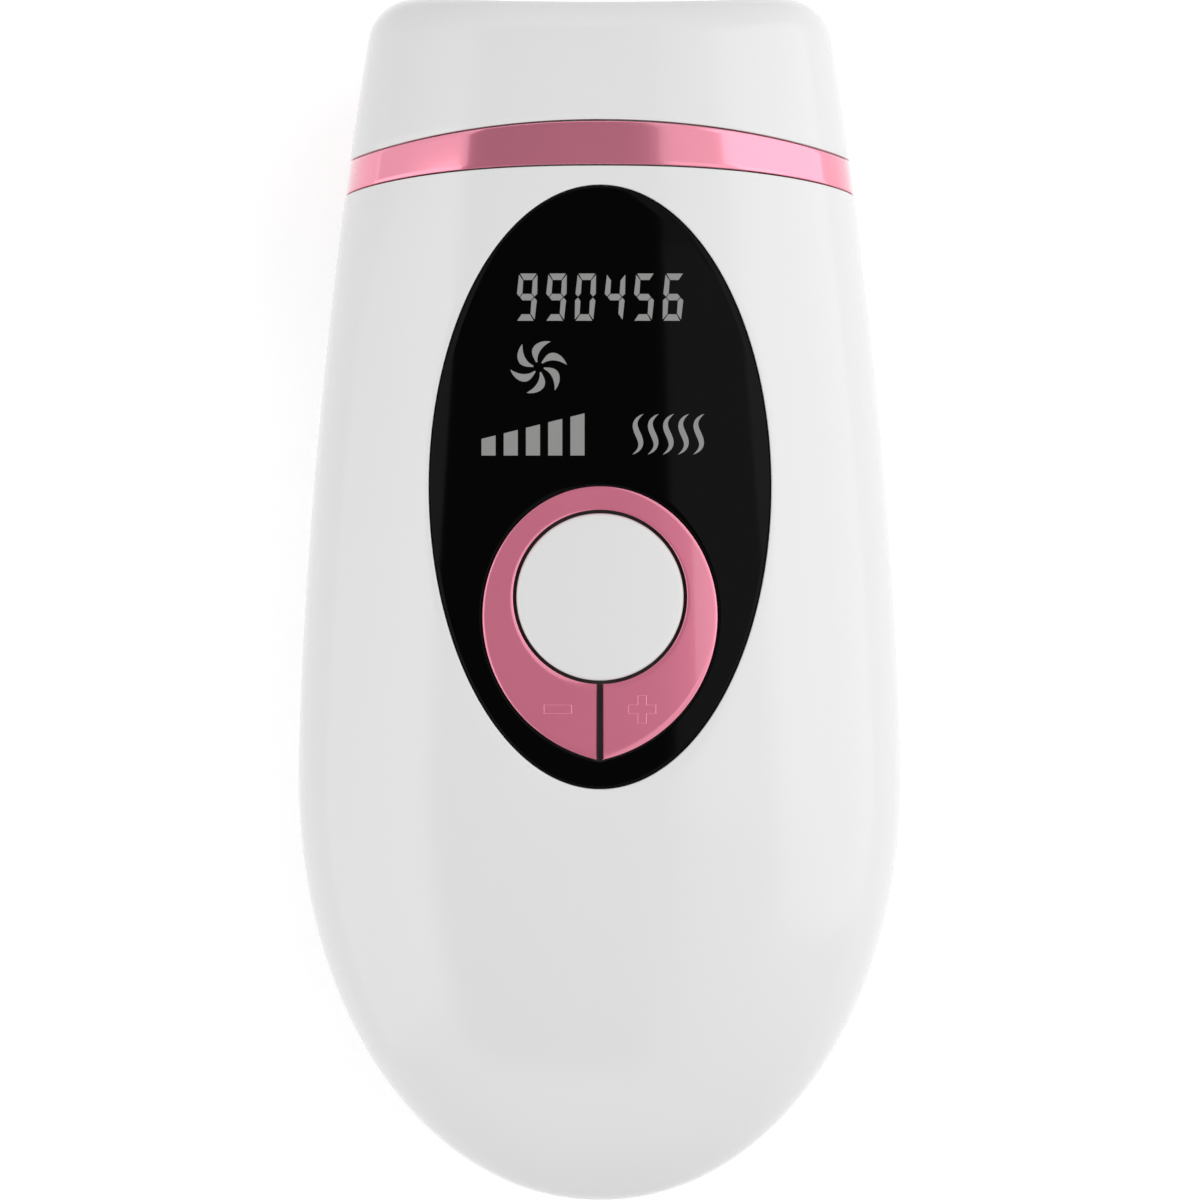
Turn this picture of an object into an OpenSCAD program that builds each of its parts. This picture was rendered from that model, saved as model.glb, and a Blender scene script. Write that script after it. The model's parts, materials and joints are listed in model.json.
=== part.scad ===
// Hand-held IPL hair remover, lying on its back with the treatment head at +Y
// Origin: middle of the resting plane; +X across, +Y towards the head, +Z out of the display face

/* [Body] */
// Length of the whole handset
body_len = 156; // [150:1:164]
// Width of the body at its widest
body_w = 78.3; // [74:0.1:84]
// Width that the sides reach at the treatment end
head_w = 58.5; // [54:0.5:64]
// Distance from the middle of the length back to the widest section
widest_back = 23; // [18:1:28]
// Height of the display face above the parting plane
front_h = 21.5; // [20:0.5:25]
// Depth of the back below the parting plane
back_h = 21.6; // [20:0.1:25]
// Wall of every outer moulding
wall = 2.2; // [1.8:0.1:2.6]

/* [Head] */
// Length of the white cap in front of the band, on the centre line
cap_len = 15.4; // [13:0.2:20]
// Length of the pink band on the centre line
band_len = 5.8; // [4:0.2:8]
// Corner radius of the cap seen from the front
cap_corner = 5; // [3:0.5:6]
// Width of the treatment window's opening
window_w = 40; // [34:1:42]
// Height of the treatment window's opening
window_h = 15; // [12:0.5:17]

/* [Display lens] */
// Width of the oval lens
lens_w = 44; // [42:0.5:46]
// Length of the oval lens
lens_len = 77.8; // [74:0.2:80]
// Distance of the lens's middle ahead of the body's middle
lens_y = 14.6; // [12:0.2:16]

/* [Keys] */
// Radius of the power button
button_r = 10.8; // [9:0.1:11]
// Travel of the power button
button_travel = 0.5; // [0.3:0.1:0.5]
// Width of the key ring
ring_w = 30.4; // [28:0.2:32]
// Width of the slit between the two keys
slit_w = 0.78; // [0.5:0.02:1.2]
// Travel of the minus and plus keys at their plungers
key_travel = 0.45; // [0.3:0.05:0.45]

/* [Cooling] */
// Side of the square fan
fan_side = 25; // [20:1:26]
// Thickness of the fan
fan_t = 10; // [8:1:11]
// Number of fan blades
blade_count = 7; // [5:1:9]

/* [Power] */
// Diameter of each flash capacitor
cap_d = 18; // [14:0.5:19]
// Length of each flash capacitor
cap_body_len = 36; // [28:1:38]
// Radius of the socket's centre pin
jack_pin_r = 1; // [0.65:0.05:1.1]
// Radius of the socket's barrel
jack_bore_r = 2.9; // [2.75:0.05:3]

/* [Hidden] */

// ---- Body surface: every outer and inner skin is one of these formulas at its own inset ----
half_l = body_len / 2;
widest_y = -widest_back;
tail_l = half_l - widest_back;
head_l = half_l + widest_back;
// Height of the parting plane over the surface that the handset lies on
part_z = 21;
// Exponents of the tail's plan and side outlines, and of the front and back sections
n_plan = 2.04;
n_side = 2.3;
n_front = 3;
n_back = 2.4;
// Share of the head's taper that sets in at once, and the length over which it starts
taper_share = 0.32;
taper_soft = 8;
// Fall of the display face and rise of the back from their crowns to the head's end
front_fall = 2.57;
droop = 2.31;
back_lift = 9;
droop_from = lens_y + 25.4;
front_arch = front_fall / pow(half_l - lens_y, 2);
head_droop = droop / pow(half_l - droop_from, 2);
back_rise = back_lift / pow(half_l, 2);

function taper(t) = taper_share * (sqrt(t * t + taper_soft * taper_soft) - taper_soft)
    / (sqrt(head_l * head_l + taper_soft * taper_soft) - taper_soft)
    + (1 - taper_share) * pow(t / head_l, 2);
function tail_share(y, inset, n) = let (s = min(1, max(0, (widest_y - y) / (tail_l - inset))))
    pow(max(0, 1 - pow(s, n)), 1 / n);
function half_w(y, inset) = y < widest_y
    ? (body_w / 2 - inset) * tail_share(y, inset, n_plan)
    : body_w / 2 - inset - (body_w - head_w) / 2 * taper(y - widest_y);
function front_ht(y, inset) = (front_h - inset - front_arch * pow(y - lens_y, 2)
    - head_droop * pow(max(0, y - droop_from), 2)) * tail_share(y, inset, n_side);
function back_ht(y, inset) = (back_h - inset - back_rise * pow(max(0, y), 2)) * tail_share(y, inset, n_side);

// Unit section: u across, v up, for a direction in degrees
function sec(a) = let (n = sin(a) < 0 ? n_back : n_front,
    r = pow(pow(abs(cos(a)), n) + pow(abs(sin(a)), n), -1 / n)) [r * cos(a), r * sin(a)];
function section_pt(a, y, inset) = let (s = sec(a), x = s[0] * half_w(y, inset),
    z = part_z + s[1] * (s[1] < 0 ? back_ht(y, inset) : front_ht(y, inset))) [x, y, max(inset, z)];
function front_z(x, y, inset) = part_z + front_ht(y, inset)
    * pow(max(0, 1 - pow(abs(x) / half_w(y, inset), n_front)), 1 / n_front);

// The band's edges bow back towards the sides, by an arch and a tilt
rim_dip = 0.6;
band_front_y = half_l - cap_len - rim_dip;
band_back_y = band_front_y - band_len;
edge_gap = 0.1;
function bow(a, arch, tilt) = let (s = sec(a)) -arch * s[0] * s[0] - tilt * (1 - s[1] * s[1]);
function back_edge(a) = band_back_y + bow(a, 1.5, 2.33);
function front_edge(a) = band_front_y + bow(a, 4.1, 0.97);

// Stations along the tail, eased towards its end, then evenly to the bowed edge
tail_steps = 12;
side_steps = 9;
function tail_y(i, inset) = widest_y - (tail_l - inset) * pow(cos(90 * i / tail_steps), 2 / n_plan);
function shell_y(i, a, inset) = i <= tail_steps ? tail_y(i, inset)
    : widest_y + (back_edge(a) - edge_gap - widest_y) * (i - tail_steps) / side_steps;

// Closed skin of a lofted loop; row 0 may shrink to two points, and the last row is closed by a strip
function drop_flat(tris) = [for (t = tris) if (t[0] != t[1] && t[1] != t[2] && t[0] != t[2]) t];

// Half of the casing, from direction a0 to a1, with its wall, open at the band
module half_shell(a0, a1, segs) {
    rows = tail_steps + side_steps;
    m = 2 * (segs + 1);
    ang = [for (j = [0:segs]) a0 + (a1 - a0) * j / segs];
    tips = [[0, -half_l, part_z], [0, -half_l + wall, part_z]];
    pts = concat(tips, [for (i = [1:rows]) each concat(
        [for (j = [0:segs]) section_pt(ang[j], shell_y(i, ang[j], 0), 0)],
        [for (j = [segs:-1:0]) section_pt(ang[j], shell_y(i, ang[j], wall), wall)])]);
    function id(i, j) = i == 0 ? (j % m <= segs ? 0 : 1) : 2 + (i - 1) * m + j % m;
    skin = drop_flat([for (i = [0:rows - 1]) for (j = [0:m - 1]) each
        [[id(i, j), id(i, j + 1), id(i + 1, j + 1)], [id(i, j), id(i + 1, j + 1), id(i + 1, j)]]]);
    rim = [for (j = [0:segs - 1]) each
        [[id(rows, j), id(rows, j + 1), id(rows, m - 2 - j)],
            [id(rows, j), id(rows, m - 2 - j), id(rows, m - 1 - j)]]];
    polyhedron(pts, concat(skin, rim), convexity = 6);
}

// Tube of closed sections: rows is a list of functions of direction, given as [y, inset] pairs per row
module section_tube(rows, segs) {
    n = len(rows);
    pts = [for (r = rows) each [for (j = [0:segs - 1]) r[j]]];
    skin = [for (i = [0:n - 1]) for (j = [0:segs - 1]) let (k = (j + 1) % segs, b = (i + 1) % n) each
        [[i * segs + j, i * segs + k, b * segs + k], [i * segs + j, b * segs + k, b * segs + j]]];
    polyhedron(pts, drop_flat(skin), convexity = 6);
}
function ring_of(segs, f_y,
    inset) = [for (j = [0:segs - 1]) let (a = 360 * j / segs) section_pt(a, f_y[j], inset)];

// Solid body at an inset, used to trim what stands against a wall
module trim_body(inset) {
    rows = 16;
    segs = 36;
    ys = concat([for (i = [1:8]) widest_y - (tail_l - inset) * cos(90 * i / 8)],
        [for (i = [1:8]) widest_y + (band_back_y - 2 - widest_y) * i / 8]);
    pts = concat([[0, -half_l + inset, part_z]],
        [for (y = ys) for (j = [0:segs - 1]) section_pt(360 * j / segs, y, inset)]);
    last = 1 + (rows - 1) * segs;
    faces = concat(
        [for (j = [0:segs - 1]) [0, 1 + (j + 1) % segs, 1 + j]],
        [for (i = [0:rows - 2]) for (j = [0:segs - 1]) let (k = (j + 1) % segs, p = 1 + i * segs,
            q = p + segs) each
            [[p + j, p + k, q + k], [p + j, q + k, q + j]]],
        [[for (j = [0:segs - 1]) last + j]]);
    polyhedron(pts, faces, convexity = 4);
}

// ---- Levels above the resting plane ----
deck_z = part_z + front_h - 2.5;
deck_t = 1.6;
deck_under = deck_z - deck_t;
deck_rim = 0.6;
lens_gap = 0.15;
gasket_t = 0.2;
board_t = 1.2;
board_top = deck_under - 4;
board_under = board_top - board_t;
switch_t = 3;
plunger_top = board_top + switch_t + 0.5;
face_z = deck_z + 2.3;

// ---- Key ring ----
ring_y = -2.1;
ring_top = 16.8;
lobe_r = 19;
lobe_x = lobe_r - ring_w / 2;
hole_gap = 0.45;
button_y = 0.4;
hinge_y = 6.2;
key_x = 5.6;
key_y = -14;
key_lever = hinge_y - key_y;
key_gap = 0.2;

function oval(w, l, n) = [for (i = [0:n - 1]) [w / 2 * cos(360 * i / n), l / 2 * sin(360 * i / n)]];
lobe_end = acos(lobe_x / lobe_r);
function ring_outline(g) = concat(
    [for (i = [0:24]) [(ring_w / 2 + g) * cos(7.5 * i), ring_y + (ring_top + g) * sin(7.5 * i)]],
    [for (i = [1:12]) let (a = 180 + lobe_end * i / 12) [lobe_x + (lobe_r + g) * cos(a),
        ring_y + (lobe_r + g) * sin(a)]],
    [for (i = [11:-1:1]) let (a = -lobe_end * i / 12) [-lobe_x + (lobe_r + g) * cos(a),
        ring_y + (lobe_r + g) * sin(a)]]);

// ---- Places of the fasteners ----
casing_x = 27;
casing_front_y = 36;
casing_back_y = -42;
casing_spots = [for (s = [-1, 1]) each [[s * casing_x, casing_front_y], [s * (casing_x - 2), casing_back_y]]];
board_x = 17.2;
board_spots = [for (s = [-1, 1]) each [[s * board_x, 30], [s * board_x, -6]]];
pcb_x = 16.5;
pcb_z = 8;
pcb_t = 1.6;
pcb_top = pcb_z + pcb_t;
pcb_spots = [for (s = [-1, 1]) each [[s * pcb_x, -46], [s * pcb_x, 6]]];
casing_screw_r = 1.25;
casing_head_z = 12;
small_screw_r = 0.8;
screw_gap = 0.03;

// ---- Head, lamp and air path ----
window_z = part_z + 1;
head_end = half_l - rim_dip;
face_t = 2.4;
face_in = head_end - face_t;
glass_t = 2;
glass_y = face_in - 2.4 - glass_t;
housing_y = face_in - 18.5;
sink_y = face_in - 29;
sink_w = 36;
sink_h = 20;
fan_y = 28;
fan_z = 18.6;
fan_bore = fan_side / 2 - 1;
duct_wall = 0.8;
duct_y = fan_y + fan_t;
lamp_y = face_in - 11.5;
lamp_r = 2;
lamp_len = 40;
jack_z = 15.5;
jack_y = -half_l + 12;
jack_floor = jack_y + 10;
pin_len = 8.4;
pin_tail_r = 0.6;

// ---- Outer mouldings ----
module front_shell() {
    color("white") difference() {
        union() {
            half_shell(0, 180, 28);
            translate([0, lens_y, deck_under]) linear_extrude(deck_t)
                polygon(oval(lens_w + 2 * deck_rim, lens_len + 2 * deck_rim, 60));
            intersection() {
                front_bosses();
                trim_body(wall / 2);
            }
        }
        translate([0, lens_y, deck_z]) linear_extrude(front_h)
            polygon(oval(lens_w + 2 * lens_gap, lens_len + 2 * lens_gap, 60));
        // Display window, button guide and key slots in the deck
        translate([-display_w / 2 - 0.3, display_y - 0.3, deck_under - 1])
            cube([display_w + 0.6, display_l + 0.6, 5]);
        translate([0, button_y, deck_under - 1]) cylinder(r = stem_r + 0.05, h = 5, $fn = 48);
        for (s = [-1, 1]) translate([s * key_x, key_y, deck_under - 1])
            cylinder(r = key_stem_r + 0.3, h = 5, $fn = 32);
        for (s = [-1, 1]) translate([s * post_x, post_y, deck_under - 1])
            cylinder(r = post_r + 0.02, h = 5, $fn = 32);
        for (p = casing_spots) translate([p[0], p[1], part_z - 1])
            cylinder(r = casing_screw_r + screw_gap, h = 11, $fn = 32);
        for (p = board_spots) translate([p[0], p[1], board_top - 1])
            cylinder(r = small_screw_r + screw_gap, h = 4.5, $fn = 24);
    }
}

module front_bosses() {
    for (p = casing_spots) translate([p[0], p[1], part_z + 0.1]) cylinder(r = 3.6, h = front_h, $fn = 32);
    for (p = board_spots) translate([p[0], p[1], board_top])
        cylinder(r = 2.2, h = deck_t / 2 + deck_under - board_top, $fn = 32);
}

module rear_shell() {
    color("white") difference() {
        union() {
            half_shell(180, 360, 28);
            intersection() {
                rear_bosses();
                trim_body(wall / 2);
            }
        }
        for (p = casing_spots) translate([p[0], p[1], -1]) cylinder(r = 3.1, h = casing_head_z + 1, $fn = 32);
        for (p = casing_spots) translate([p[0], p[1], 0])
            cylinder(r = casing_screw_r + 0.3, h = part_z + 1, $fn = 32);
        for (p = pcb_spots) translate([p[0], p[1], pcb_z - 4.5])
            cylinder(r = small_screw_r + screw_gap, h = 6, $fn = 24);
        translate([0, jack_y + 1, jack_z]) rotate([90, 0, 0]) cylinder(r = tunnel_r, h = 20, $fn = 48);
        // Air intake behind the fan, and air outlets on both flanks
        for (i = [-3:3]) translate([i * 3.4 - 0.9, intake_y - 8, -1]) cube([1.8, 16, wall + 1.5]);
        for (i = [0:4]) translate([-body_w, 39.4 + i * 2.6, 11]) cube([2 * body_w, 1.3, 7]);
    }
}
tunnel_r = 3.4;
intake_y = 15;
screen_z = 3.6;
screen_w = 26;
screen_l = 20;

module rear_bosses() {
    for (p = casing_spots) translate([p[0], p[1], 0]) cylinder(r = 4.4, h = part_z - 0.1, $fn = 32);
    for (p = pcb_spots) translate([p[0], p[1], 0]) cylinder(r = 2.4, h = pcb_z, $fn = 32);
    translate([0, jack_y + 0.2, jack_z]) rotate([90, 0, 0]) cylinder(r = tunnel_r + 1.4, h = 20, $fn = 48);
    // Raised seat round the air intake, which the dust screen lies on
    translate([-screen_w / 2, intake_y - screen_l / 2, 0]) difference() {
        cube([screen_w, screen_l, screen_z]);
        translate([1, 1, -1]) cube([screen_w - 2, screen_l - 2, screen_z + 2]);
    }
}

module head_cap() {
    segs = 56;
    turn = 6;
    sleeve = wall + 0.15;
    sleeve_t = 1.4;
    side = [for (j = [0:segs - 1]) 360 * j / segs];
    straight = half_l - cap_corner;
    edge = [for (a = side) front_edge(a) + edge_gap];
    // Point of the end's rounding: the sides turn in by the corner radius, the faces by less
    function nose(a, k) = let (s = sec(a), f = 90 * k / turn, y0 = straight + cap_corner * sin(f),
        y = y0 - rim_dip * (1 - s[0] * s[0]) * sin(f), w = half_w(y, 0) - cap_corner * (1 - cos(f)),
        h = s[1] < 0 ? back_ht(y, 0) : front_ht(y, 0)) [s[0] * w, y,
            part_z + s[1] * (h - 2.5 * (1 - cos(f)))];
    outer = concat(
        [for (i = [0:3]) [for (j = [0:segs - 1]) section_pt(side[j], edge[j] + (straight - edge[j]) * i / 4,
            0)]],
        [for (k = [0:turn]) [for (a = side) nose(a, k)]]);
    mouth = [for (a = side) let (s = window_pt(a)) [s[0], head_end - 0.4, s[1]]];
    mouth_in = [for (m = mouth) [m[0], face_in, m[2]]];
    inner = concat(
        [ring_of(segs, [for (a = side) face_in], sleeve + sleeve_t)],
        [ring_of(segs, [for (a = side) back_edge(a) - sleeve_lap], sleeve + sleeve_t)],
        [ring_of(segs, [for (a = side) back_edge(a) - sleeve_lap], sleeve)],
        [ring_of(segs, edge, sleeve)]);
    color("white") section_tube(concat(outer, [mouth], [mouth_in], inner), segs);
}
sleeve_lap = 1.8;
// Window outline as a rounded box, for a direction in degrees
function window_pt(a) = let (n = 6, r = pow(pow(abs(cos(a)), n) + pow(abs(sin(a)), n), -1 / n))
    [window_w / 2 * r * cos(a), window_z + window_h / 2 * r * sin(a)];

module trim_band() {
    segs = 56;
    side = [for (j = [0:segs - 1]) 360 * j / segs];
    back = [for (a = side) back_edge(a) + edge_gap];
    front = [for (a = side) front_edge(a) - edge_gap];
    color("pink") section_tube([ring_of(segs, back, 0), ring_of(segs, (back + front) / 2, 0),
        ring_of(segs, front, 0), ring_of(segs, front, wall), ring_of(segs, back, wall)], segs);
}

// ---- Display lens and keys ----
module display_lens() {
    n = 60;
    bevel = 0.35;
    // Rings of the curved face from its rim to its middle, each a share of the oval
    shares = [1, 0.83, 0.66, 0.48, 0.3, 0.14];
    function at(q, i) = [q * cos(360 * i / n) * (lens_w / 2 - bevel),
        lens_y + q * sin(360 * i / n) * (lens_len / 2 - bevel)];
    rim = [for (i = [0:n - 1]) let (p = [lens_w / 2 * cos(360 * i / n),
        lens_y + lens_len / 2 * sin(360 * i / n)]) p];
    low = deck_z + gasket_t;
    pts = concat([for (p = rim) [p[0], p[1], low]], [for (p = rim) [p[0], p[1], front_z(p[0], p[1], bevel)]],
        [for (q = shares) for (i = [0:n - 1]) let (p = at(q, i)) [p[0], p[1], front_z(p[0], p[1], 0.05)]]);
    faces = concat([[for (i = [0:n - 1]) i]],
        [for (r = [0:len(shares)]) for (i = [0:n - 1]) let (k = (i + 1) % n, p = r * n, q = p + n) each
            [[p + i, q + k, p + k], [p + i, q + i, q + k]]],
        [[for (i = [n - 1:-1:0]) (len(shares) + 1) * n + i]]);
    color("black") difference() {
        polyhedron(pts, faces, convexity = 4);
        translate([0, 0, deck_z - 1]) linear_extrude(6) polygon(ring_outline(key_gap));
    }
}

// Die-cut black film under the whole lens and ring, open at the display and round each stem and post
module lens_gasket() {
    film_gap = 0.3;
    color("dimgray") translate([0, 0, deck_z]) linear_extrude(gasket_t) difference() {
        translate([0, lens_y]) polygon(oval(lens_w - 1, lens_len - 1, 60));
        translate([-display_w / 2 - film_gap, display_y - film_gap])
            square([display_w + 2 * film_gap, display_l + 2 * film_gap]);
        translate([0, button_y]) circle(r = stem_r + film_gap, $fn = 48);
        for (s = [-1, 1]) {
            translate([s * key_x, key_y]) circle(r = key_stem_r + film_gap, $fn = 32);
            translate([s * post_x, post_y]) circle(r = post_r + film_gap, $fn = 32);
        }
    }
}

display_w = 28;
display_l = 27;
display_y = 16.8;
stem_r = 3;
key_stem_r = 1.5;
post_x = 9;
post_y = 9.6;
post_r = 0.9;
hinge_gap = 0.2;
key_t = 1.3;

// Plate of the ring moulding, less the button's hole
module ring_plate(low, high) {
    translate([0, 0, low]) linear_extrude(high - low) difference() {
        polygon(ring_outline(0));
        translate([0, button_y]) circle(r = button_r + hole_gap, $fn = 72);
    }
}

module key_bridge() {
    color("palevioletred") union() {
        intersection() {
            ring_plate(deck_z + gasket_t, face_z);
            translate([-ring_w, hinge_y + hinge_gap / 2, 0]) cube([2 * ring_w, ring_w, 100]);
        }
        for (s = [-1, 1]) translate([s * post_x, post_y, deck_under - 0.6])
            cylinder(r = post_r, h = deck_t + 0.6, $fn = 32);
    }
}

// One arm of the ring, with the stem that works its switch; side is -1 or 1
module key(side) {
    color("palevioletred") union() {
        intersection() {
            ring_plate(face_z - key_t, face_z);
            translate([side > 0 ? slit_w / 2 : -slit_w / 2 - ring_w, -2 * ring_w, 0])
                cube([ring_w, 2 * ring_w + hinge_y - hinge_gap / 2, 100]);
        }
        translate([side * key_x, key_y, plunger_top + 0.05])
            cylinder(r = key_stem_r, h = face_z - key_t - plunger_top, $fn = 32);
    }
}
module minus_key() { key(-1); }
module plus_key() { key(1); }

button_low = deck_z + gasket_t + button_travel + 0.05;
clip_t = 0.6;
clip_z = deck_under - 0.05 - clip_t;
module power_button() {
    crown = 0.25;
    edge = 0.3;
    groove_r = stem_r - 0.4;
    color("whitesmoke") translate([0, button_y, 0]) rotate_extrude($fn = 72) polygon(concat(
        [[0, plunger_top + 0.05], [groove_r, plunger_top + 0.05], [groove_r, clip_z + clip_t],
            [stem_r, clip_z + clip_t],
        [stem_r, button_low], [button_r, button_low], [button_r, face_z - edge], [button_r - edge, face_z]],
        [for (i = [5:-1:0]) let (r = (button_r - 2 * edge) * i / 6) [r,
            face_z + crown * (1 - pow(i / 6, 2))]]));
}
module button_clip() {
    color("silver") translate([0, button_y, clip_z]) difference() {
        cylinder(r = stem_r + 1.2, h = clip_t, $fn = 48);
        translate([0, 0, -1]) cylinder(r = stem_r - 0.39, h = clip_t + 2, $fn = 48);
    }
}

// ---- Switches and boards behind the face ----
module tact_switch(x, y) {
    color("dimgray") translate([x, y, board_top]) difference() {
        translate([-2.25, -2.25, 0]) cube([4.5, 4.5, switch_t - 0.5]);
        translate([0, 0, 0.6]) cylinder(r = plunger_r + 0.05, h = switch_t, $fn = 32);
    }
}
module plunger(x, y) {
    color("tan") translate([x, y, board_top + 0.6 + 0.65])
        cylinder(r = plunger_r, h = plunger_top - board_top - 1.25, $fn = 32);
}
plunger_r = 1.1;
module power_switch() { tact_switch(0, button_y); }
module minus_switch() { tact_switch(-key_x, key_y); }
module plus_switch() { tact_switch(key_x, key_y); }
module power_plunger() { plunger(0, button_y); }
module minus_plunger() { plunger(-key_x, key_y); }
module plus_plunger() { plunger(key_x, key_y); }

module control_board() {
    color("seagreen") difference() {
        translate([0, 0, board_under]) linear_extrude(board_t) hull()
            for (p = [[18.5, 44], [18.5, -10], [12, -22]]) for (s = [-1, 1]) translate([s * p[0], p[1]])
                circle(r = 2, $fn = 24);
        for (p = board_spots) translate([p[0], p[1], board_under - 1])
            cylinder(r = small_screw_r + 0.4, h = board_t + 2, $fn = 24);
    }
}
module display_module() {
    color("gray") translate([-display_w / 2, display_y, board_top]) union() {
        cube([display_w, display_l, 3]);
        translate([1.2, 1.2, 3]) cube([display_w - 2.4, display_l - 2.4, 1]);
    }
}
module display_diffuser() {
    color("lightgray") translate([-display_w / 2, display_y, deck_under + 0.1])
        cube([display_w, display_l, 1.2]);
}
module pan_screw(r, head_r, shank, head_t) {
    union() {
        cylinder(r = r, h = shank, $fn = 24);
        translate([0, 0, -head_t]) difference() {
            cylinder(r = head_r, h = head_t, $fn = 32);
            for (q = [0, 90]) rotate([0, 0, q]) translate([-head_r * 0.6, -0.2, -0.1])
                cube([head_r * 1.2, 0.4, head_t / 2]);
        }
    }
}
module board_screws() {
    color("silver") for (p = board_spots) translate([p[0], p[1], board_under])
        pan_screw(small_screw_r, 1.7, board_t + 3, 1.1);
}
module casing_screws() {
    color("silver") for (p = casing_spots) translate([p[0], p[1], casing_head_z])
        pan_screw(casing_screw_r, 2.6, part_z + 9 - casing_head_z, 1.8);
}
module power_board_screws() {
    color("silver") for (p = pcb_spots) translate([p[0], p[1], pcb_top]) mirror([0, 0, 1])
        pan_screw(small_screw_r, 1.7, pcb_t + 3.5, 1.1);
}

// Round lead along a list of points, with a flat-ended tube of few sides
module lead(route, r) {
    k = 8;
    n = len(route);
    function dir(i) = let (a = route[max(0, i - 1)], b = route[min(n - 1, i + 1)]) (b - a) / norm(b - a);
    function side(d) = let (c = cross(d, abs(d[2]) > 0.8 ? [1, 0, 0] : [0, 0, 1])) c / norm(c);
    pts = [for (i = [0:n - 1]) let (d = dir(i), s = side(d), t = cross(s, d))
        for (j = [0:k - 1]) route[i] + r * (cos(360 * j / k) * s + sin(360 * j / k) * t)];
    skin = [for (i = [0:n - 2]) for (j = [0:k - 1]) let (m = (j + 1) % k, p = i * k, q = p + k) each
        [[p + j, p + m, q + m], [p + j, q + m, q + j]]];
    polyhedron(pts, concat([[for (j = [k - 1:-1:0]) j]], skin, [[for (j = [0:k - 1]) (n - 1) * k + j]]),
        convexity = 4);
}
// Smooth route through a few hand-set points
function bend(p, steps) = concat([for (i = [0:len(p) - 2]) for (s = [0:steps - 1]) let (t = s / steps,
    a = p[max(0, i - 1)], b = p[i], c = p[i + 1], d = p[min(len(p) - 1, i + 2)])
    0.5 * (2 * b + (c - a) * t + (2 * a - 5 * b + 4 * c - d) * t * t
        + (3 * b - a - 3 * c + d) * t * t * t)], [p[len(p) - 1]]);
function flip_x(p) = [for (q = p) [-q[0], q[1], q[2]]];

lead_end = pcb_top + 0.25;
lamp_route = [[19.4, 2, lead_end], [19.4, 2, 11.5], [19.9, 5, 15], [21, 14, 19], [20.6, fan_y + 2, 20],
    [20.6, sink_y, 20], [20.4, housing_y - 2, 22], [20.4, housing_y, 22]];
fan_lead_z = fan_z - fan_bore + 1.9;
fan_route = [[3, fan_y - 0.05, fan_lead_z], [3, fan_y - 1.5, fan_lead_z], [9, fan_y - 8, 11],
    [13, 12, 13.5], [13, 9, 12], [13, 9, lead_end]];
jack_route = [[2.4, jack_y + 12.2, 14], [2.4, jack_y + 13.4, 14], [3.4, -50.6, 13], [4, -49.4, 11.5],
    [4, -49.4, lead_end]];
module lamp_leads() { color("red") for (r = [lamp_route, flip_x(lamp_route)]) lead(bend(r, 4), 0.8); }
module fan_leads() { color("black") for (x = [0, 1.6]) translate([x, 0, 0]) lead(bend(fan_route, 4), 0.5); }
module jack_leads() { color("black") for (r = [jack_route, flip_x(jack_route)]) lead(bend(r, 4), 0.7); }
module ribbon_cable() {
    color("white") union() {
        translate([-20.6, -9, pcb_top]) cube([0.4, 10, board_under - pcb_top]);
    }
}

// ---- Treatment head ----
module rounded_slab(w, h, t, r) {
    translate([0, t, window_z]) rotate([90, 0, 0]) linear_extrude(t) hull()
        for (x = [-1, 1]) for (z = [-1, 1]) translate([x * (w / 2 - r), z * (h / 2 - r)])
            circle(r = r, $fn = 24);
}
frame_gap = 0.25;
module contact_frame() {
    color("silver") difference() {
        union() {
            translate([0, face_in - 1.2, 0]) rounded_slab(window_w + 2, window_h + 1.6, 1.2, 5);
            translate([0, face_in + face_t - 0.6, 0]) rotate([90, 0, 0]) linear_extrude(face_t)
                polygon([for (j = [0:55]) let (p = window_pt(360 * j / 56))
                    [p[0] * (1 - 2 * frame_gap / window_w),
                        window_z + (p[1] - window_z) * (1 - 2 * frame_gap / window_h)]]);
        }
        translate([0, face_in - 3, 0]) rounded_slab(window_w - 5.6, window_h - 4.6, 10, 1.6);
    }
}
module contact_sensors() {
    color("gold") for (s = [-1, 1])
        translate([s * (window_w / 2 - 0.5), face_in - 1.2, window_z + window_h / 2 - 1])
        rotate([90, 0, 0]) cylinder(r = 0.6, h = 1.2, $fn = 24);
}
module window_gasket() {
    color("dimgray") translate([0, glass_y + glass_t, 0]) difference() {
        rounded_slab(window_w - 1, window_h - 1.6, 0.9, 2);
        translate([0, -1, 0]) rounded_slab(window_w - 5, window_h - 4.4, 3, 1.4);
    }
}
module filter_glass() { color("orange")
    translate([0, glass_y, 0]) rounded_slab(window_w - 1, window_h - 2, glass_t, 1.2); }
module lamp_housing() {
    deep = glass_y + glass_t - housing_y;
    color("gainsboro") difference() {
        translate([0, housing_y, 0]) rounded_slab(47, 18, deep, 7);
        translate([-(window_w - 0.8) / 2, housing_y + deep - glass_t, window_z - (window_h - 1.8) / 2])
            cube([window_w - 0.8, glass_t + 1, window_h - 1.8]);
        translate([0, housing_y - 1, 0]) rounded_slab(44.6, 15.6, deep - 1.5 - glass_t + 1, 5.8);
        translate([-17, housing_y, window_z - 5.2]) cube([34, deep, 10.4]);
    }
}
refl_w = 36;
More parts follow.
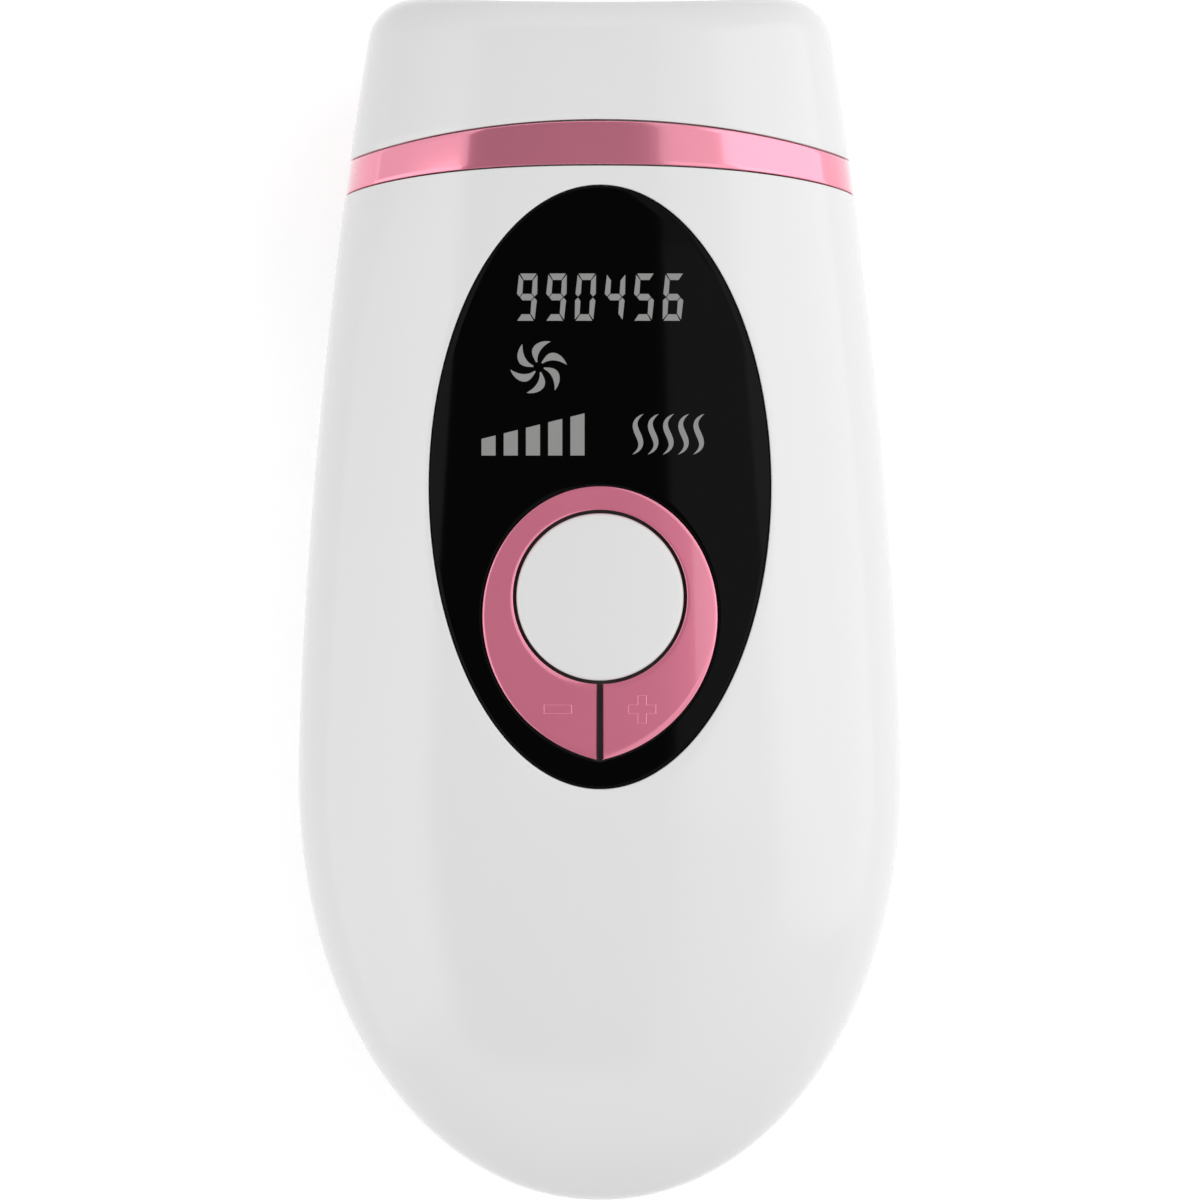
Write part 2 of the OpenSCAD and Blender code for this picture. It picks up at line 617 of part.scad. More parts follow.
module reflector() {
    // Trough with a parabolic section, bright inside
    t = 0.4;
    prof = [for (i = [-8:8]) let (z = i * 0.75) [housing_y + 2.2 + z * z * 0.2, z]];
    color("lightgray") translate([refl_w / 2, 0, window_z]) rotate([0, -90, 0]) linear_extrude(refl_w)
        polygon(concat([for (p = prof) [p[1], p[0]]],
            [for (i = [len(prof) - 1:-1:0]) [prof[i][1], prof[i][0] - t * 1.6]]));
}
module flash_tube() {
    color("lightcyan") translate([-lamp_len / 2, lamp_y, window_z]) rotate([0, 90, 0]) difference() {
        cylinder(r = lamp_r, h = lamp_len, $fn = 32);
        translate([0, 0, -1]) cylinder(r = lamp_r - 0.6, h = lamp_len + 2, $fn = 32);
    }
}
module lamp_electrodes() {
    color("silver") for (s = [-1, 1]) translate([s * lamp_len / 2, lamp_y, window_z])
        rotate([0, s * 90, 0]) union() {
        translate([0, 0, -3]) cylinder(r = lamp_r - 0.65, h = 3, $fn = 32);
        cylinder(r = lamp_r, h = 1.2, $fn = 32);
    }
}
module lamp_holders() {
    color("white") for (s = [-1, 1]) difference() {
        translate([s * 20.2 - 1.9, housing_y + 0.2, window_z - 3.5]) cube([3.8, 9.8, 7]);
        translate([s * 20.2 - 3, lamp_y, window_z]) rotate([0, 90, 0])
            cylinder(r = lamp_r + 0.05, h = 6, $fn = 32);
    }
}
module trigger_wire() {
    color("silver") for (i = [-4:4]) translate([i * 3.6, lamp_y, window_z]) rotate([0, 90, 0])
        rotate_extrude($fn = 32)
        translate([lamp_r + 0.2, 0]) circle(r = 0.15, $fn = 16);
}

// ---- Cooling ----
module heat_sink() {
    fins = 11;
    color("lightgray") translate([-sink_w / 2, sink_y, window_z - sink_h / 2]) union() {
        translate([0, 8, 0]) cube([sink_w, 2.2, sink_h]);
        for (i = [0:fins - 1]) translate([i * (sink_w - 1) / (fins - 1), 0, 0]) cube([1, 8.2, sink_h]);
    }
}
module thermal_cutoff() {
    color("silver") translate([0, sink_y + 8, window_z + sink_h / 2]) cylinder(r = 2.2, h = 2.2, $fn = 32);
}
module air_duct() {
    a = fan_side / 2;
    w = sink_w / 2;
    h = sink_h / 2;
    function loop(x, z, zc, y) = [[x, y, zc + z], [-x, y, zc + z], [-x, y, zc - z], [x, y, zc - z]];
    rows = [loop(a + duct_wall, a + duct_wall, fan_z, duct_y),
        loop(w + duct_wall, h + duct_wall, window_z, sink_y),
        loop(w + duct_wall, h + duct_wall, window_z, sink_y + 5.5),
            loop(w + 0.05, h + 0.05, window_z, sink_y + 5.5),
        loop(w + 0.05, h + 0.05, window_z, sink_y), loop(a, a, fan_z, duct_y)];
    color("darkgray") section_tube(rows, 4);
}
module fan_frame() {
    hub_r = 4;
    color("dimgray") translate([0, fan_y + fan_t, fan_z]) rotate([90, 0, 0]) union() {
        difference() {
            translate([-fan_side / 2, -fan_side / 2, 0]) cube([fan_side, fan_side, fan_t]);
            translate([0, 0, -1]) cylinder(r = fan_bore, h = fan_t + 2, $fn = 64);
            for (x = [-1, 1]) for (y = [-1, 1])
                translate([x * (fan_side / 2 - 2.5), y * (fan_side / 2 - 2.5), -1])
                cylinder(r = 1.1, h = fan_t + 2, $fn = 24);
        }
        difference() {
            union() {
                cylinder(r = hub_r, h = 1.4, $fn = 48);
                for (q = [45:120:359]) rotate([0, 0, q]) translate([0, -0.6, 0])
                    cube([fan_bore + 0.3, 1.2, 1.2]);
                cylinder(r = 1.8, h = 3, $fn = 32);
            }
            translate([0, 0, -1]) cylinder(r = shaft_r - 0.01, h = 6, $fn = 32);
        }
    }
}
shaft_r = 0.75;
module fan_shaft() {
    color("silver") translate([0, fan_y + fan_t, fan_z]) rotate([90, 0, 0])
        cylinder(r = shaft_r - 0.01, h = fan_t - 2, $fn = 32);
}
module fan_impeller() {
    hub_r = 4.4;
    tip_r = fan_bore - 0.5;
    color("black") translate([0, fan_y + fan_t - 1.8, fan_z]) rotate([90, 0, 0]) difference() {
        union() {
            translate([0, 0, 0.2]) cylinder(r = hub_r, h = fan_t - 3.2, $fn = 48);
            for (i = [0:blade_count - 1]) rotate([0, 0, i * 360 / blade_count])
                translate([hub_r - 0.6, 0, (fan_t - 3) / 2]) rotate([35, 0, 0])
                    translate([0, -0.4, -(fan_t - 4) / 2])
                    cube([tip_r - hub_r + 0.5, 0.8, fan_t - 4]);
        }
        translate([0, 0, -1]) cylinder(r = 2.3, h = 3, $fn = 32);
        translate([0, 0, -1]) cylinder(r = shaft_r + 0.03, h = fan_t - 1.1, $fn = 32);
    }
}
module fan_screws() {
    color("silver") for (x = [-1, 1]) for (z = [-1, 1])
        translate([x * (fan_side / 2 - 2.5), fan_y, fan_z + z * (fan_side / 2 - 2.5)]) rotate([-90, 0, 0])
            pan_screw(1, 1.9, fan_t - 0.5, 1);
}
module dust_screen() {
    bar = 0.35;
    color("dimgray") translate([0, intake_y, screen_z]) union() {
        difference() {
            translate([-screen_w / 2, -screen_l / 2, 0]) cube([screen_w, screen_l, 1]);
            translate([1 - screen_w / 2, 1 - screen_l / 2, -1]) cube([screen_w - 2, screen_l - 2, 3]);
        }
        for (i = [-5:5]) translate([i * 2 - bar / 2, -9.5, 0]) cube([bar, 19, 0.4]);
        for (i = [-4:4]) translate([-12.5, i * 2 - bar / 2, 0.2]) cube([25, bar, 0.4]);
    }
}

// ---- Power supply ----
module power_board() {
    color("seagreen") difference() {
        translate([-20.5, -51, pcb_z]) cube([41, 61.5, pcb_t]);
        for (p = pcb_spots) translate([p[0], p[1], pcb_z - 1])
            cylinder(r = small_screw_r + 0.3, h = pcb_t + 2, $fn = 24);
    }
}
module flash_capacitors() {
    lip = 0.5;
    color("darkslateblue") for (s = [-1, 1]) translate([s * (cap_d / 2 + 0.4), -12, pcb_top + cap_d / 2])
        rotate([90, 0, 0]) rotate_extrude($fn = 64)
        polygon([[0, 0.3], [cap_d / 2 - 1, 0.3], [cap_d / 2 - 1, 0], [cap_d / 2, lip],
            [cap_d / 2, cap_body_len - 3], [cap_d / 2 - 0.7, cap_body_len - 2.4],
            [cap_d / 2, cap_body_len - 1.8], [cap_d / 2, cap_body_len - lip],
                [cap_d / 2 - lip, cap_body_len], [0, cap_body_len]]);
}
module transformer() {
    color("goldenrod") union() {
        translate([-8, -9, pcb_top]) cube([16, 14, 2]);
        translate([-6, -8, pcb_top + 2]) cube([12, 12, 10]);
        translate([-8, -6, pcb_top + 3.5]) cube([16, 8, 7]);
        translate([-8, -9, pcb_top + 12]) cube([16, 14, 2]);
    }
}
module trigger_coil() {
    color("saddlebrown") translate([-14, -2, pcb_top]) union() {
        cylinder(r = 3.6, h = 1.2, $fn = 32);
        translate([0, 0, 1.2]) cylinder(r = 2.8, h = 6, $fn = 32);
        translate([0, 0, 7.2]) cylinder(r = 3.6, h = 1, $fn = 32);
    }
}
module choke_core() {
    color("dimgray") translate([14, -5, pcb_top]) union() {
        cylinder(r = 4, h = 1.2, $fn = 32);
        cylinder(r = 2, h = 6.4, $fn = 32);
        translate([0, 0, 5.4]) cylinder(r = 4, h = 1.2, $fn = 32);
    }
}
module choke_winding() {
    color("orangered") translate([14, -5, pcb_top + 1.25]) difference() {
        cylinder(r = 3.6, h = 4.1, $fn = 32);
        translate([0, 0, -1]) cylinder(r = 2.03, h = 7, $fn = 32);
    }
}
module power_transistor() {
    color("black") translate([-16, -10.5, pcb_top]) union() {
        cube([6, 4.4, 7]);
        translate([0, 0, 7]) cube([6, 1.2, 3]);
    }
}

// ---- Low-voltage socket ----
module jack_body() {
    color("black") difference() {
        union() {
            translate([-4.5, jack_y + 1.1, jack_z - 5.2]) cube([9, 11, 9.4]);
            translate([0, jack_y + 12, jack_z]) rotate([90, 0, 0])
                cylinder(r = tunnel_r + 0.4, h = 10.9, $fn = 48);
        }
        translate([0, jack_floor, jack_z]) rotate([90, 0, 0]) cylinder(r = jack_bore_r, h = 12, $fn = 48);
        translate([0, jack_y + 13, jack_z]) rotate([90, 0, 0]) cylinder(r = pin_tail_r, h = 6, $fn = 32);
        translate([-1.5, jack_y + 3, jack_z + jack_bore_r - 1]) cube([3, 10, 1.8]);
    }
}
module jack_pin() {
    color("silver") {
        translate([0, jack_y + 12.1, jack_z]) rotate([90, 0, 0]) cylinder(r = pin_tail_r, h = 5, $fn = 32);
        translate([0, jack_floor, jack_z]) rotate([90, 0, 0]) cylinder(r = jack_pin_r, h = pin_len, $fn = 32);
    }
}
module jack_spring() {
    color("gold") translate([-1, jack_y + 4, jack_z + jack_bore_r + 0.15]) cube([2, 8.1, 0.4]);
}

front_shell();
rear_shell();
head_cap();
trim_band();
display_lens();
lens_gasket();
key_bridge();
minus_key();
plus_key();
power_button();
button_clip();
power_switch();
minus_switch();
plus_switch();
power_plunger();
minus_plunger();
plus_plunger();
control_board();
display_module();
display_diffuser();
board_screws();
ribbon_cable();
contact_frame();
contact_sensors();
window_gasket();
filter_glass();
lamp_housing();
reflector();
flash_tube();
lamp_electrodes();
lamp_holders();
trigger_wire();
heat_sink();
thermal_cutoff();
air_duct();
fan_frame();
fan_shaft();
fan_impeller();
fan_screws();
dust_screen();
power_board();
power_board_screws();
flash_capacitors();
transformer();
trigger_coil();
choke_core();
choke_winding();
power_transistor();
jack_body();
jack_pin();
jack_spring();
casing_screws();
lamp_leads();
fan_leads();
jack_leads();
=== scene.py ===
"""Looks of a hand-held IPL hair remover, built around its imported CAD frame.

Lengths in this script are millimetres, and become metres where a mesh is made.
"""

import json
import math

import bmesh
import bpy
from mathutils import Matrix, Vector


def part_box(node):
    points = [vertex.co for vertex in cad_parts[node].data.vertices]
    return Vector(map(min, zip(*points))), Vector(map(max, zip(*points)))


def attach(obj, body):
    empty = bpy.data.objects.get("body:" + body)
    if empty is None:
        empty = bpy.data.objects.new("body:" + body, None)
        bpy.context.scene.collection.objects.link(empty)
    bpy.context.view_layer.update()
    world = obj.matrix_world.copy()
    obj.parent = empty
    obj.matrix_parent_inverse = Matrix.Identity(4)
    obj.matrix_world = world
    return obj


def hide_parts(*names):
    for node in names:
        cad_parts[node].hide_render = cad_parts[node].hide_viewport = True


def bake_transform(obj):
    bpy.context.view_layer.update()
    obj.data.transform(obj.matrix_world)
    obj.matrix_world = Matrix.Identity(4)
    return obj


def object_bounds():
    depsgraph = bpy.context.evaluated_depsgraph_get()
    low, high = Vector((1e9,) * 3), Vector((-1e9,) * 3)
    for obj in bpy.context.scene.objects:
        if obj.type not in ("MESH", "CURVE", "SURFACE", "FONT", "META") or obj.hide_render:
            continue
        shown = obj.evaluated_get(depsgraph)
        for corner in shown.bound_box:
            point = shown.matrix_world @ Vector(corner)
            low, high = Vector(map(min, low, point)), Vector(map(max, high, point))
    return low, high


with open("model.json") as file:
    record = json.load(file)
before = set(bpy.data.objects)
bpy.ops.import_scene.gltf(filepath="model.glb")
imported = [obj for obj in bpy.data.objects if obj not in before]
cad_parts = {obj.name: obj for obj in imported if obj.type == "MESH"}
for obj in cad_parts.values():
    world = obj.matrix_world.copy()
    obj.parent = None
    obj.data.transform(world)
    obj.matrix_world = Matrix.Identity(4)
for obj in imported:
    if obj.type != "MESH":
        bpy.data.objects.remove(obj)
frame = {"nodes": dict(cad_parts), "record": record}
cad_low, cad_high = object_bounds()
MM = 0.001

# ------------------------------------------------------------------ sizes taken from the frame


def node_box(name):
    """Lowest and highest corner of a CAD node, in millimetres."""
    low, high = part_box(name)
    return [c / MM for c in low], [c / MM for c in high]


lens_low, lens_high = node_box("display_lens")
button_low, button_high = node_box("power_button")
ring_low, ring_high = node_box("key_bridge")
frame_low, frame_high = node_box("contact_frame")

HALF_L = (cad_high.y - cad_low.y) / 2 / MM
BODY_W = (cad_high.x - cad_low.x) / MM
PART_Z = node_box("rear_shell")[1][2]
LENS_W = lens_high[0] - lens_low[0]
LENS_L = lens_high[1] - lens_low[1]
LENS_Y = (lens_high[1] + lens_low[1]) / 2
BUTTON_R = (button_high[0] - button_low[0]) / 2
BUTTON_Y = (button_high[1] + button_low[1]) / 2
KEY_TOP = ring_high[2]
POST_LOW = ring_low[2]
STEM_LOW = node_box("minus_key")[0][2]
CLIP_TOP = node_box("button_clip")[1][2]
LENS_LOW = lens_low[2] + 0.05

# ------------------------------------------------------------------ the body's surface, as in the CAD

HEAD_W = 58.5
WIDEST_Y = -23.0
TAIL_L = HALF_L + WIDEST_Y
HEAD_L = HALF_L - WIDEST_Y
FRONT_H = 21.5
BACK_H = 21.6
WALL = 2.2
N_PLAN, N_SIDE, N_FRONT, N_BACK = 2.04, 2.3, 3.0, 2.4
CAP_LEN, BAND_LEN, RIM_DIP = 15.4, 5.8, 0.6
CAP_CORNER = 5.0
FACE_ARCH, HEAD_DROOP, DROOP_FROM, BACK_RISE = 0.00064, 0.0016, 40, 0.00148
# Arch and tilt of the band's back and front edges, as bow() uses them
BACK_BEND = (1.5, 2.33)
FRONT_BEND = (4.1, 0.97)
# Gap beside the band, and half the seam between the shells
PART_GAP = 0.11
SEAM = 0.06
BAND_FRONT_Y = HALF_L - CAP_LEN - RIM_DIP
BAND_BACK_Y = BAND_FRONT_Y - BAND_LEN


def taper(t):
    """Share of the narrowing from the widest place to the head: straight, then curved."""
    start, soft = 0.32, 8.0
    share = (math.hypot(t, soft) - soft) / (math.hypot(HEAD_L, soft) - soft)
    return start * share + (1 - start) * (t / HEAD_L) ** 2


def tail_share(y, inset, n):
    """Share of the full width or height that is left in the rounded tail."""
    s = min(1.0, max(0.0, (WIDEST_Y - y) / (TAIL_L - inset)))
    return max(0.0, 1 - s ** n) ** (1 / n)


def half_w(y, inset=0.0):
    if y < WIDEST_Y:
        return (BODY_W / 2 - inset) * tail_share(y, inset, N_PLAN)
    return BODY_W / 2 - inset - (BODY_W - HEAD_W) / 2 * taper(y - WIDEST_Y)


def front_ht(y, inset=0.0):
    arch = FACE_ARCH * (y - LENS_Y) ** 2 + HEAD_DROOP * max(0.0, y - DROOP_FROM) ** 2
    return (FRONT_H - inset - arch) * tail_share(y, inset, N_SIDE)


def back_ht(y, inset=0.0):
    """Depth of the body below the seam; front_ht is its height above it."""
    return (BACK_H - inset - BACK_RISE * max(0.0, y) ** 2) * tail_share(y, inset, N_SIDE)


def section(a):
    """Unit section for a direction in radians: u across, v up."""
    c, s = math.cos(a), math.sin(a)
    n = N_BACK if s < 0 else N_FRONT
    r = (abs(c) ** n + abs(s) ** n) ** (-1 / n)
    return r * c, r * s


def section_point(a, y, inset=0.0):
    u, v = section(a)
    height = back_ht(y, inset) if v < 0 else front_ht(y, inset)
    return (u * half_w(y, inset), y, max(inset, PART_Z + v * height))


def front_z(x, y, inset=0.0):
    """Height of the display face at a place, or of a face that lies inset below it."""
    w = half_w(y, inset)
    if w <= 1e-9:
        return PART_Z
    return PART_Z + front_ht(y, inset) * max(0.0, 1 - (abs(x) / w) ** N_FRONT) ** (1 / N_FRONT)


def bow(u, v, arch, tilt):
    """How far an edge of the band falls back: by arch at the sides, and by tilt where the shells meet."""
    return -arch * u * u - tilt * (1 - v * v)


def back_edge(a):
    u, v = section(a)
    return BAND_BACK_Y + bow(u, v, *BACK_BEND)


def front_edge(a):
    u, v = section(a)
    return BAND_FRONT_Y + bow(u, v, *FRONT_BEND)


def face_back_edge(x, y):
    """Where the band's back edge runs, for a place on the display face."""
    u = min(1.0, abs(x) / half_w(y))
    v = (1 - u ** N_FRONT) ** (1 / N_FRONT)
    return BAND_BACK_Y + bow(u, v, *BACK_BEND)


# ------------------------------------------------------------------ mesh helpers


def plain_object(name, verts, faces, merge=True):
    """A closed mesh from millimetre points, its faces turned outwards."""
    mesh = bpy.data.meshes.new(name)
    mesh.from_pydata([(x * MM, y * MM, z * MM) for x, y, z in verts], [], faces)
    bm = bmesh.new()
    bm.from_mesh(mesh)
    if merge:
        bmesh.ops.remove_doubles(bm, verts=bm.verts, dist=1e-8)
    bmesh.ops.recalc_face_normals(bm, faces=bm.faces)
    bm.to_mesh(mesh)
    bm.free()
    obj = bpy.data.objects.new(name, mesh)
    bpy.context.scene.collection.objects.link(obj)
    return obj


def make(name, verts, faces, body, slot, material, replaces=(), sharp=None):
    """One finished piece from millimetre points, on its body and with its material; slot is not used."""
    obj = plain_object(name, verts, faces)
    obj.data.materials.append(material)
    smooth(obj, sharp)
    if body:
        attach(obj, body)
    if replaces:
        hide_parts(*replaces)
    return obj


def smooth(obj, sharp_deg=None):
    for p in obj.data.polygons:
        p.use_smooth = True
    if sharp_deg:
        obj.data.set_sharp_from_angle(angle=math.radians(sharp_deg))


def loft(rings, closed_rows=False, close_ends=False):
    """Points and faces of a lofted skin; every ring is closed round."""
    n = len(rings[0])
    verts = [p for ring in rings for p in ring]
    faces = []
    last = len(rings) if closed_rows else len(rings) - 1
    for i in range(last):
        a, b = i * n, ((i + 1) % len(rings)) * n
        for j in range(n):
            k = (j + 1) % n
            faces.append((a + j, a + k, b + k, b + j))
    if close_ends:
        faces.append(tuple(range(n - 1, -1, -1)))
        faces.append(tuple(range((len(rings) - 1) * n, len(rings) * n)))
    return verts, faces


def stadium(width, length, steps=8):
    """Outline of a round-ended slot, its length along the second axis."""
    r = width / 2
    points = []
    for i in range(steps + 1):
        a = math.pi * i / steps
        points.append((r * math.cos(a), length / 2 - r + r * math.sin(a)))
    for i in range(steps + 1):
        a = math.pi + math.pi * i / steps
        points.append((r * math.cos(a), -length / 2 + r + r * math.sin(a)))
    return points


def circle(radius, steps):
    """Points round a circle; the first lies along the first axis."""
    return [(radius * math.cos(2 * math.pi * i / steps), radius * math.sin(2 * math.pi * i / steps))
            for i in range(steps)]


def prism(outline, low, high, place):
    """Closed prism; place turns (u, v, w) into a point."""
    rings = [[place(u, v, w) for u, v in outline] for w in (low, high)]
    return loft(rings, close_ends=True)


def joined(solids):
    """Several (points, faces) pairs as one."""
    verts, faces = [], []
    for v, f in solids:
        base = len(verts)
        verts += v
        faces += [tuple(base + i for i in face) for face in f]
    return verts, faces


def revolve(profile, segs, cx, cy):
    """Closed upright solid of revolution from (radius, height) pairs that start and end on the axis."""
    rings = [[(cx + x, cy + y, height) for x, y in circle(radius, segs)] for radius, height in profile[1:-1]]
    verts, faces = loft(rings)
    for end, ring_at in ((profile[0], 0), (profile[-1], len(rings) - 1)):
        tip = len(verts)
        verts.append((cx, cy, end[1]))
        base = ring_at * segs
        for i in range(segs):
            k = (i + 1) % segs
            faces.append((tip, base + k, base + i) if ring_at == 0 else (tip, base + i, base + k))
    return verts, faces


# ------------------------------------------------------------------ materials

PLASTIC_IOR = 1.45


def finish(name, colour, rough, metallic=0.0, vary=0.03, scale=60.0, bump=0.02, bump_scale=900.0,
           coat=0.0, specular=0.5, transmission=0.0, rough_vary=0.04):
    """Moulded or plated surface: faint colour drift, uneven gloss and a fine surface bump."""
    mat = bpy.data.materials.new(name)
    mat.use_nodes = True
    nt = mat.node_tree
    bsdf = nt.nodes["Principled BSDF"]
    link = nt.links.new
    coords = nt.nodes.new("ShaderNodeTexCoord")
    drift = nt.nodes.new("ShaderNodeTexNoise")
    drift.inputs["Scale"].default_value = scale
    drift.inputs["Detail"].default_value = 3.0
    link(coords.outputs["Object"], drift.inputs["Vector"])
    mix = nt.nodes.new("ShaderNodeMix")
    mix.data_type = "RGBA"
    low = [max(0.0, c * (1 - vary)) for c in colour]
    high = [min(1.0, c * (1 + vary)) for c in colour]
    mix.inputs["A"].default_value = (*low, 1)
    mix.inputs["B"].default_value = (*high, 1)
    link(drift.outputs["Fac"], mix.inputs["Factor"])
    link(mix.outputs["Result"], bsdf.inputs["Base Color"])
    gloss = nt.nodes.new("ShaderNodeMapRange")
    gloss.inputs["To Min"].default_value = max(0.0, rough - rough_vary)
    gloss.inputs["To Max"].default_value = min(1.0, rough + rough_vary)
    link(drift.outputs["Fac"], gloss.inputs["Value"])
    link(gloss.outputs["Result"], bsdf.inputs["Roughness"])
    if bump:
        grain = nt.nodes.new("ShaderNodeTexNoise")
        grain.inputs["Scale"].default_value = bump_scale
        grain.inputs["Detail"].default_value = 2.0
        link(coords.outputs["Object"], grain.inputs["Vector"])
        relief = nt.nodes.new("ShaderNodeBump")
        relief.inputs["Strength"].default_value = bump
        relief.inputs["Distance"].default_value = 0.0001
        link(grain.outputs["Fac"], relief.inputs["Height"])
        link(relief.outputs["Normal"], bsdf.inputs["Normal"])
    bsdf.inputs["Metallic"].default_value = metallic
    bsdf.inputs["Specular IOR Level"].default_value = specular
    bsdf.inputs["Coat Weight"].default_value = coat
    bsdf.inputs["Coat Roughness"].default_value = 0.03
    bsdf.inputs["Transmission Weight"].default_value = transmission
    bsdf.inputs["IOR"].default_value = PLASTIC_IOR
    return mat


# Colour, roughness and surface of each slot
LOOKS = {
    "white_shell": dict(colour=(0.80, 0.80, 0.80), rough=0.16, vary=0.008, scale=25, bump=0.03,
                        bump_scale=1400),
    "white_key": dict(colour=(0.78, 0.78, 0.78), rough=0.22, vary=0.008, scale=40, bump=0.03,
                      bump_scale=1600),
    "pink_metal": dict(colour=(0.86, 0.27, 0.38), rough=0.12, metallic=0.5, vary=0.02, scale=80,
                       bump=0.02, bump_scale=2200, coat=1.0),
    "pink_key": dict(colour=(0.78, 0.215, 0.325), rough=0.16, metallic=0.3, vary=0.02, scale=80,
                     bump=0.02, bump_scale=2200, coat=1.0),
    "black_lens": dict(colour=(0.0018, 0.0018, 0.0019), rough=0.07, vary=0.2, scale=50, bump=0.008,
                       bump_scale=700, specular=0.065, rough_vary=0.01),
    "black_rubber": dict(colour=(0.075, 0.065, 0.065), rough=0.6, vary=0.15, bump=0.3, bump_scale=2500),
    "steel": dict(colour=(0.60, 0.60, 0.61), rough=0.28, metallic=1.0, vary=0.05, bump=0.1,
                  bump_scale=1500),
    "black_plastic": dict(colour=(0.022, 0.022, 0.024), rough=0.45, vary=0.15, bump=0.25, bump_scale=2500),
    "tan_plastic": dict(colour=(0.55, 0.42, 0.28), rough=0.4, vary=0.05, bump=0.1),
    "circuit_board": dict(colour=(0.02, 0.17, 0.07), rough=0.3, vary=0.25, scale=300, bump=0.15,
                          bump_scale=1200),
    "display_glass": dict(colour=(0.03, 0.035, 0.035), rough=0.1, vary=0.1, bump=0.02),
    "milky_plastic": dict(colour=(0.6, 0.62, 0.6), rough=0.4, vary=0.03, bump=0.08),
    "white_plastic": dict(colour=(0.68, 0.68, 0.66), rough=0.35, vary=0.03, bump=0.15),
    "satin_metal": dict(colour=(0.66, 0.67, 0.69), rough=0.25, metallic=0.95, vary=0.03, bump=0.08,
                        bump_scale=2600),
    "gold_metal": dict(colour=(0.80, 0.58, 0.25), rough=0.22, metallic=1.0, vary=0.05, bump=0.05),
    "filter_glass": dict(colour=(0.62, 0.16, 0.03), rough=0.06, vary=0.05, bump=0.01, coat=0.6,
                         specular=0.6),
    "bright_aluminium": dict(colour=(0.85, 0.85, 0.86), rough=0.1, metallic=1.0, vary=0.03, bump=0.05),
    "clear_glass": dict(colour=(0.85, 0.9, 0.95), rough=0.05, vary=0.02, bump=0.01, transmission=0.9),
    "white_rubber": dict(colour=(0.7, 0.7, 0.68), rough=0.55, vary=0.05, bump=0.2),
    "aluminium": dict(colour=(0.66, 0.66, 0.68), rough=0.35, metallic=1.0, vary=0.06, bump=0.2,
                      bump_scale=1800),
    "capacitor_sleeve": dict(colour=(0.02, 0.025, 0.09), rough=0.25, vary=0.1, bump=0.06),
    "winding_tape": dict(colour=(0.62, 0.40, 0.06), rough=0.3, vary=0.1, bump=0.15),
    "ferrite": dict(colour=(0.05, 0.05, 0.052), rough=0.6, vary=0.15, bump=0.3),
    "copper_wire": dict(colour=(0.48, 0.17, 0.06), rough=0.25, metallic=0.8, vary=0.15, scale=900,
                        bump=0.4),
    "red_wire": dict(colour=(0.45, 0.015, 0.015), rough=0.4, vary=0.06, bump=0.1),
    "black_wire": dict(colour=(0.02, 0.02, 0.02), rough=0.4, vary=0.1, bump=0.1),
}
MATERIALS = {name: finish(name, **look) for name, look in LOOKS.items()}

PRINT_GREY = finish("print_grey", (0.285, 0.285, 0.28), 0.5, vary=0.02, scale=300, bump=0.05,
                    bump_scale=3000, specular=0.1)

for part in frame["record"]["subparts"]:
    node = frame["nodes"][part["node"]]
    node.data.materials.clear()
    node.data.materials.append(MATERIALS[part["material_slot"]])

CASING_SPOTS = [(s * x, y) for s in (-1, 1) for x, y in ((27.0, 36.0), (25.0, -42.0))]

# ------------------------------------------------------------------ front shell


def ray_limit(centre, direction, inset, edge_gap):
    """How far a ray on the display face runs before it leaves the outline or meets the band."""
    near, far = 0.0, 120.0
    for _ in range(48):
        mid = (near + far) / 2
        x, y = centre[0] + direction[0] * mid, centre[1] + direction[1] * mid
        inside = -HALF_L + inset < y < HALF_L - 5
        inside = inside and abs(x) < half_w(y, inset)
        inside = inside and y < face_back_edge(min(abs(x), half_w(y) - 1e-9), y) - edge_gap
        near, far = (mid, far) if inside else (near, mid)
    return near


def lens_edge(angle, grow):
    """Point on the lens's outline, or on one that lies grow outside it."""
    return ((LENS_W / 2 + grow) * math.cos(angle), LENS_Y + (LENS_L / 2 + grow) * math.sin(angle))


def shell_directions(count, gap):
    """Even steps round the lens, with one exactly through each corner beside the band."""
    y = back_edge(0.0) - gap
    corner = math.atan2((y - LENS_Y) / (LENS_L / 2), half_w(y) / (LENS_W / 2))
    angles = [2 * math.pi * i / count for i in range(count)]
    for target in (corner, math.pi - corner):
        nearest = min(range(count), key=lambda i: abs(angles[i] - target))
        angles[nearest] = target
    return angles


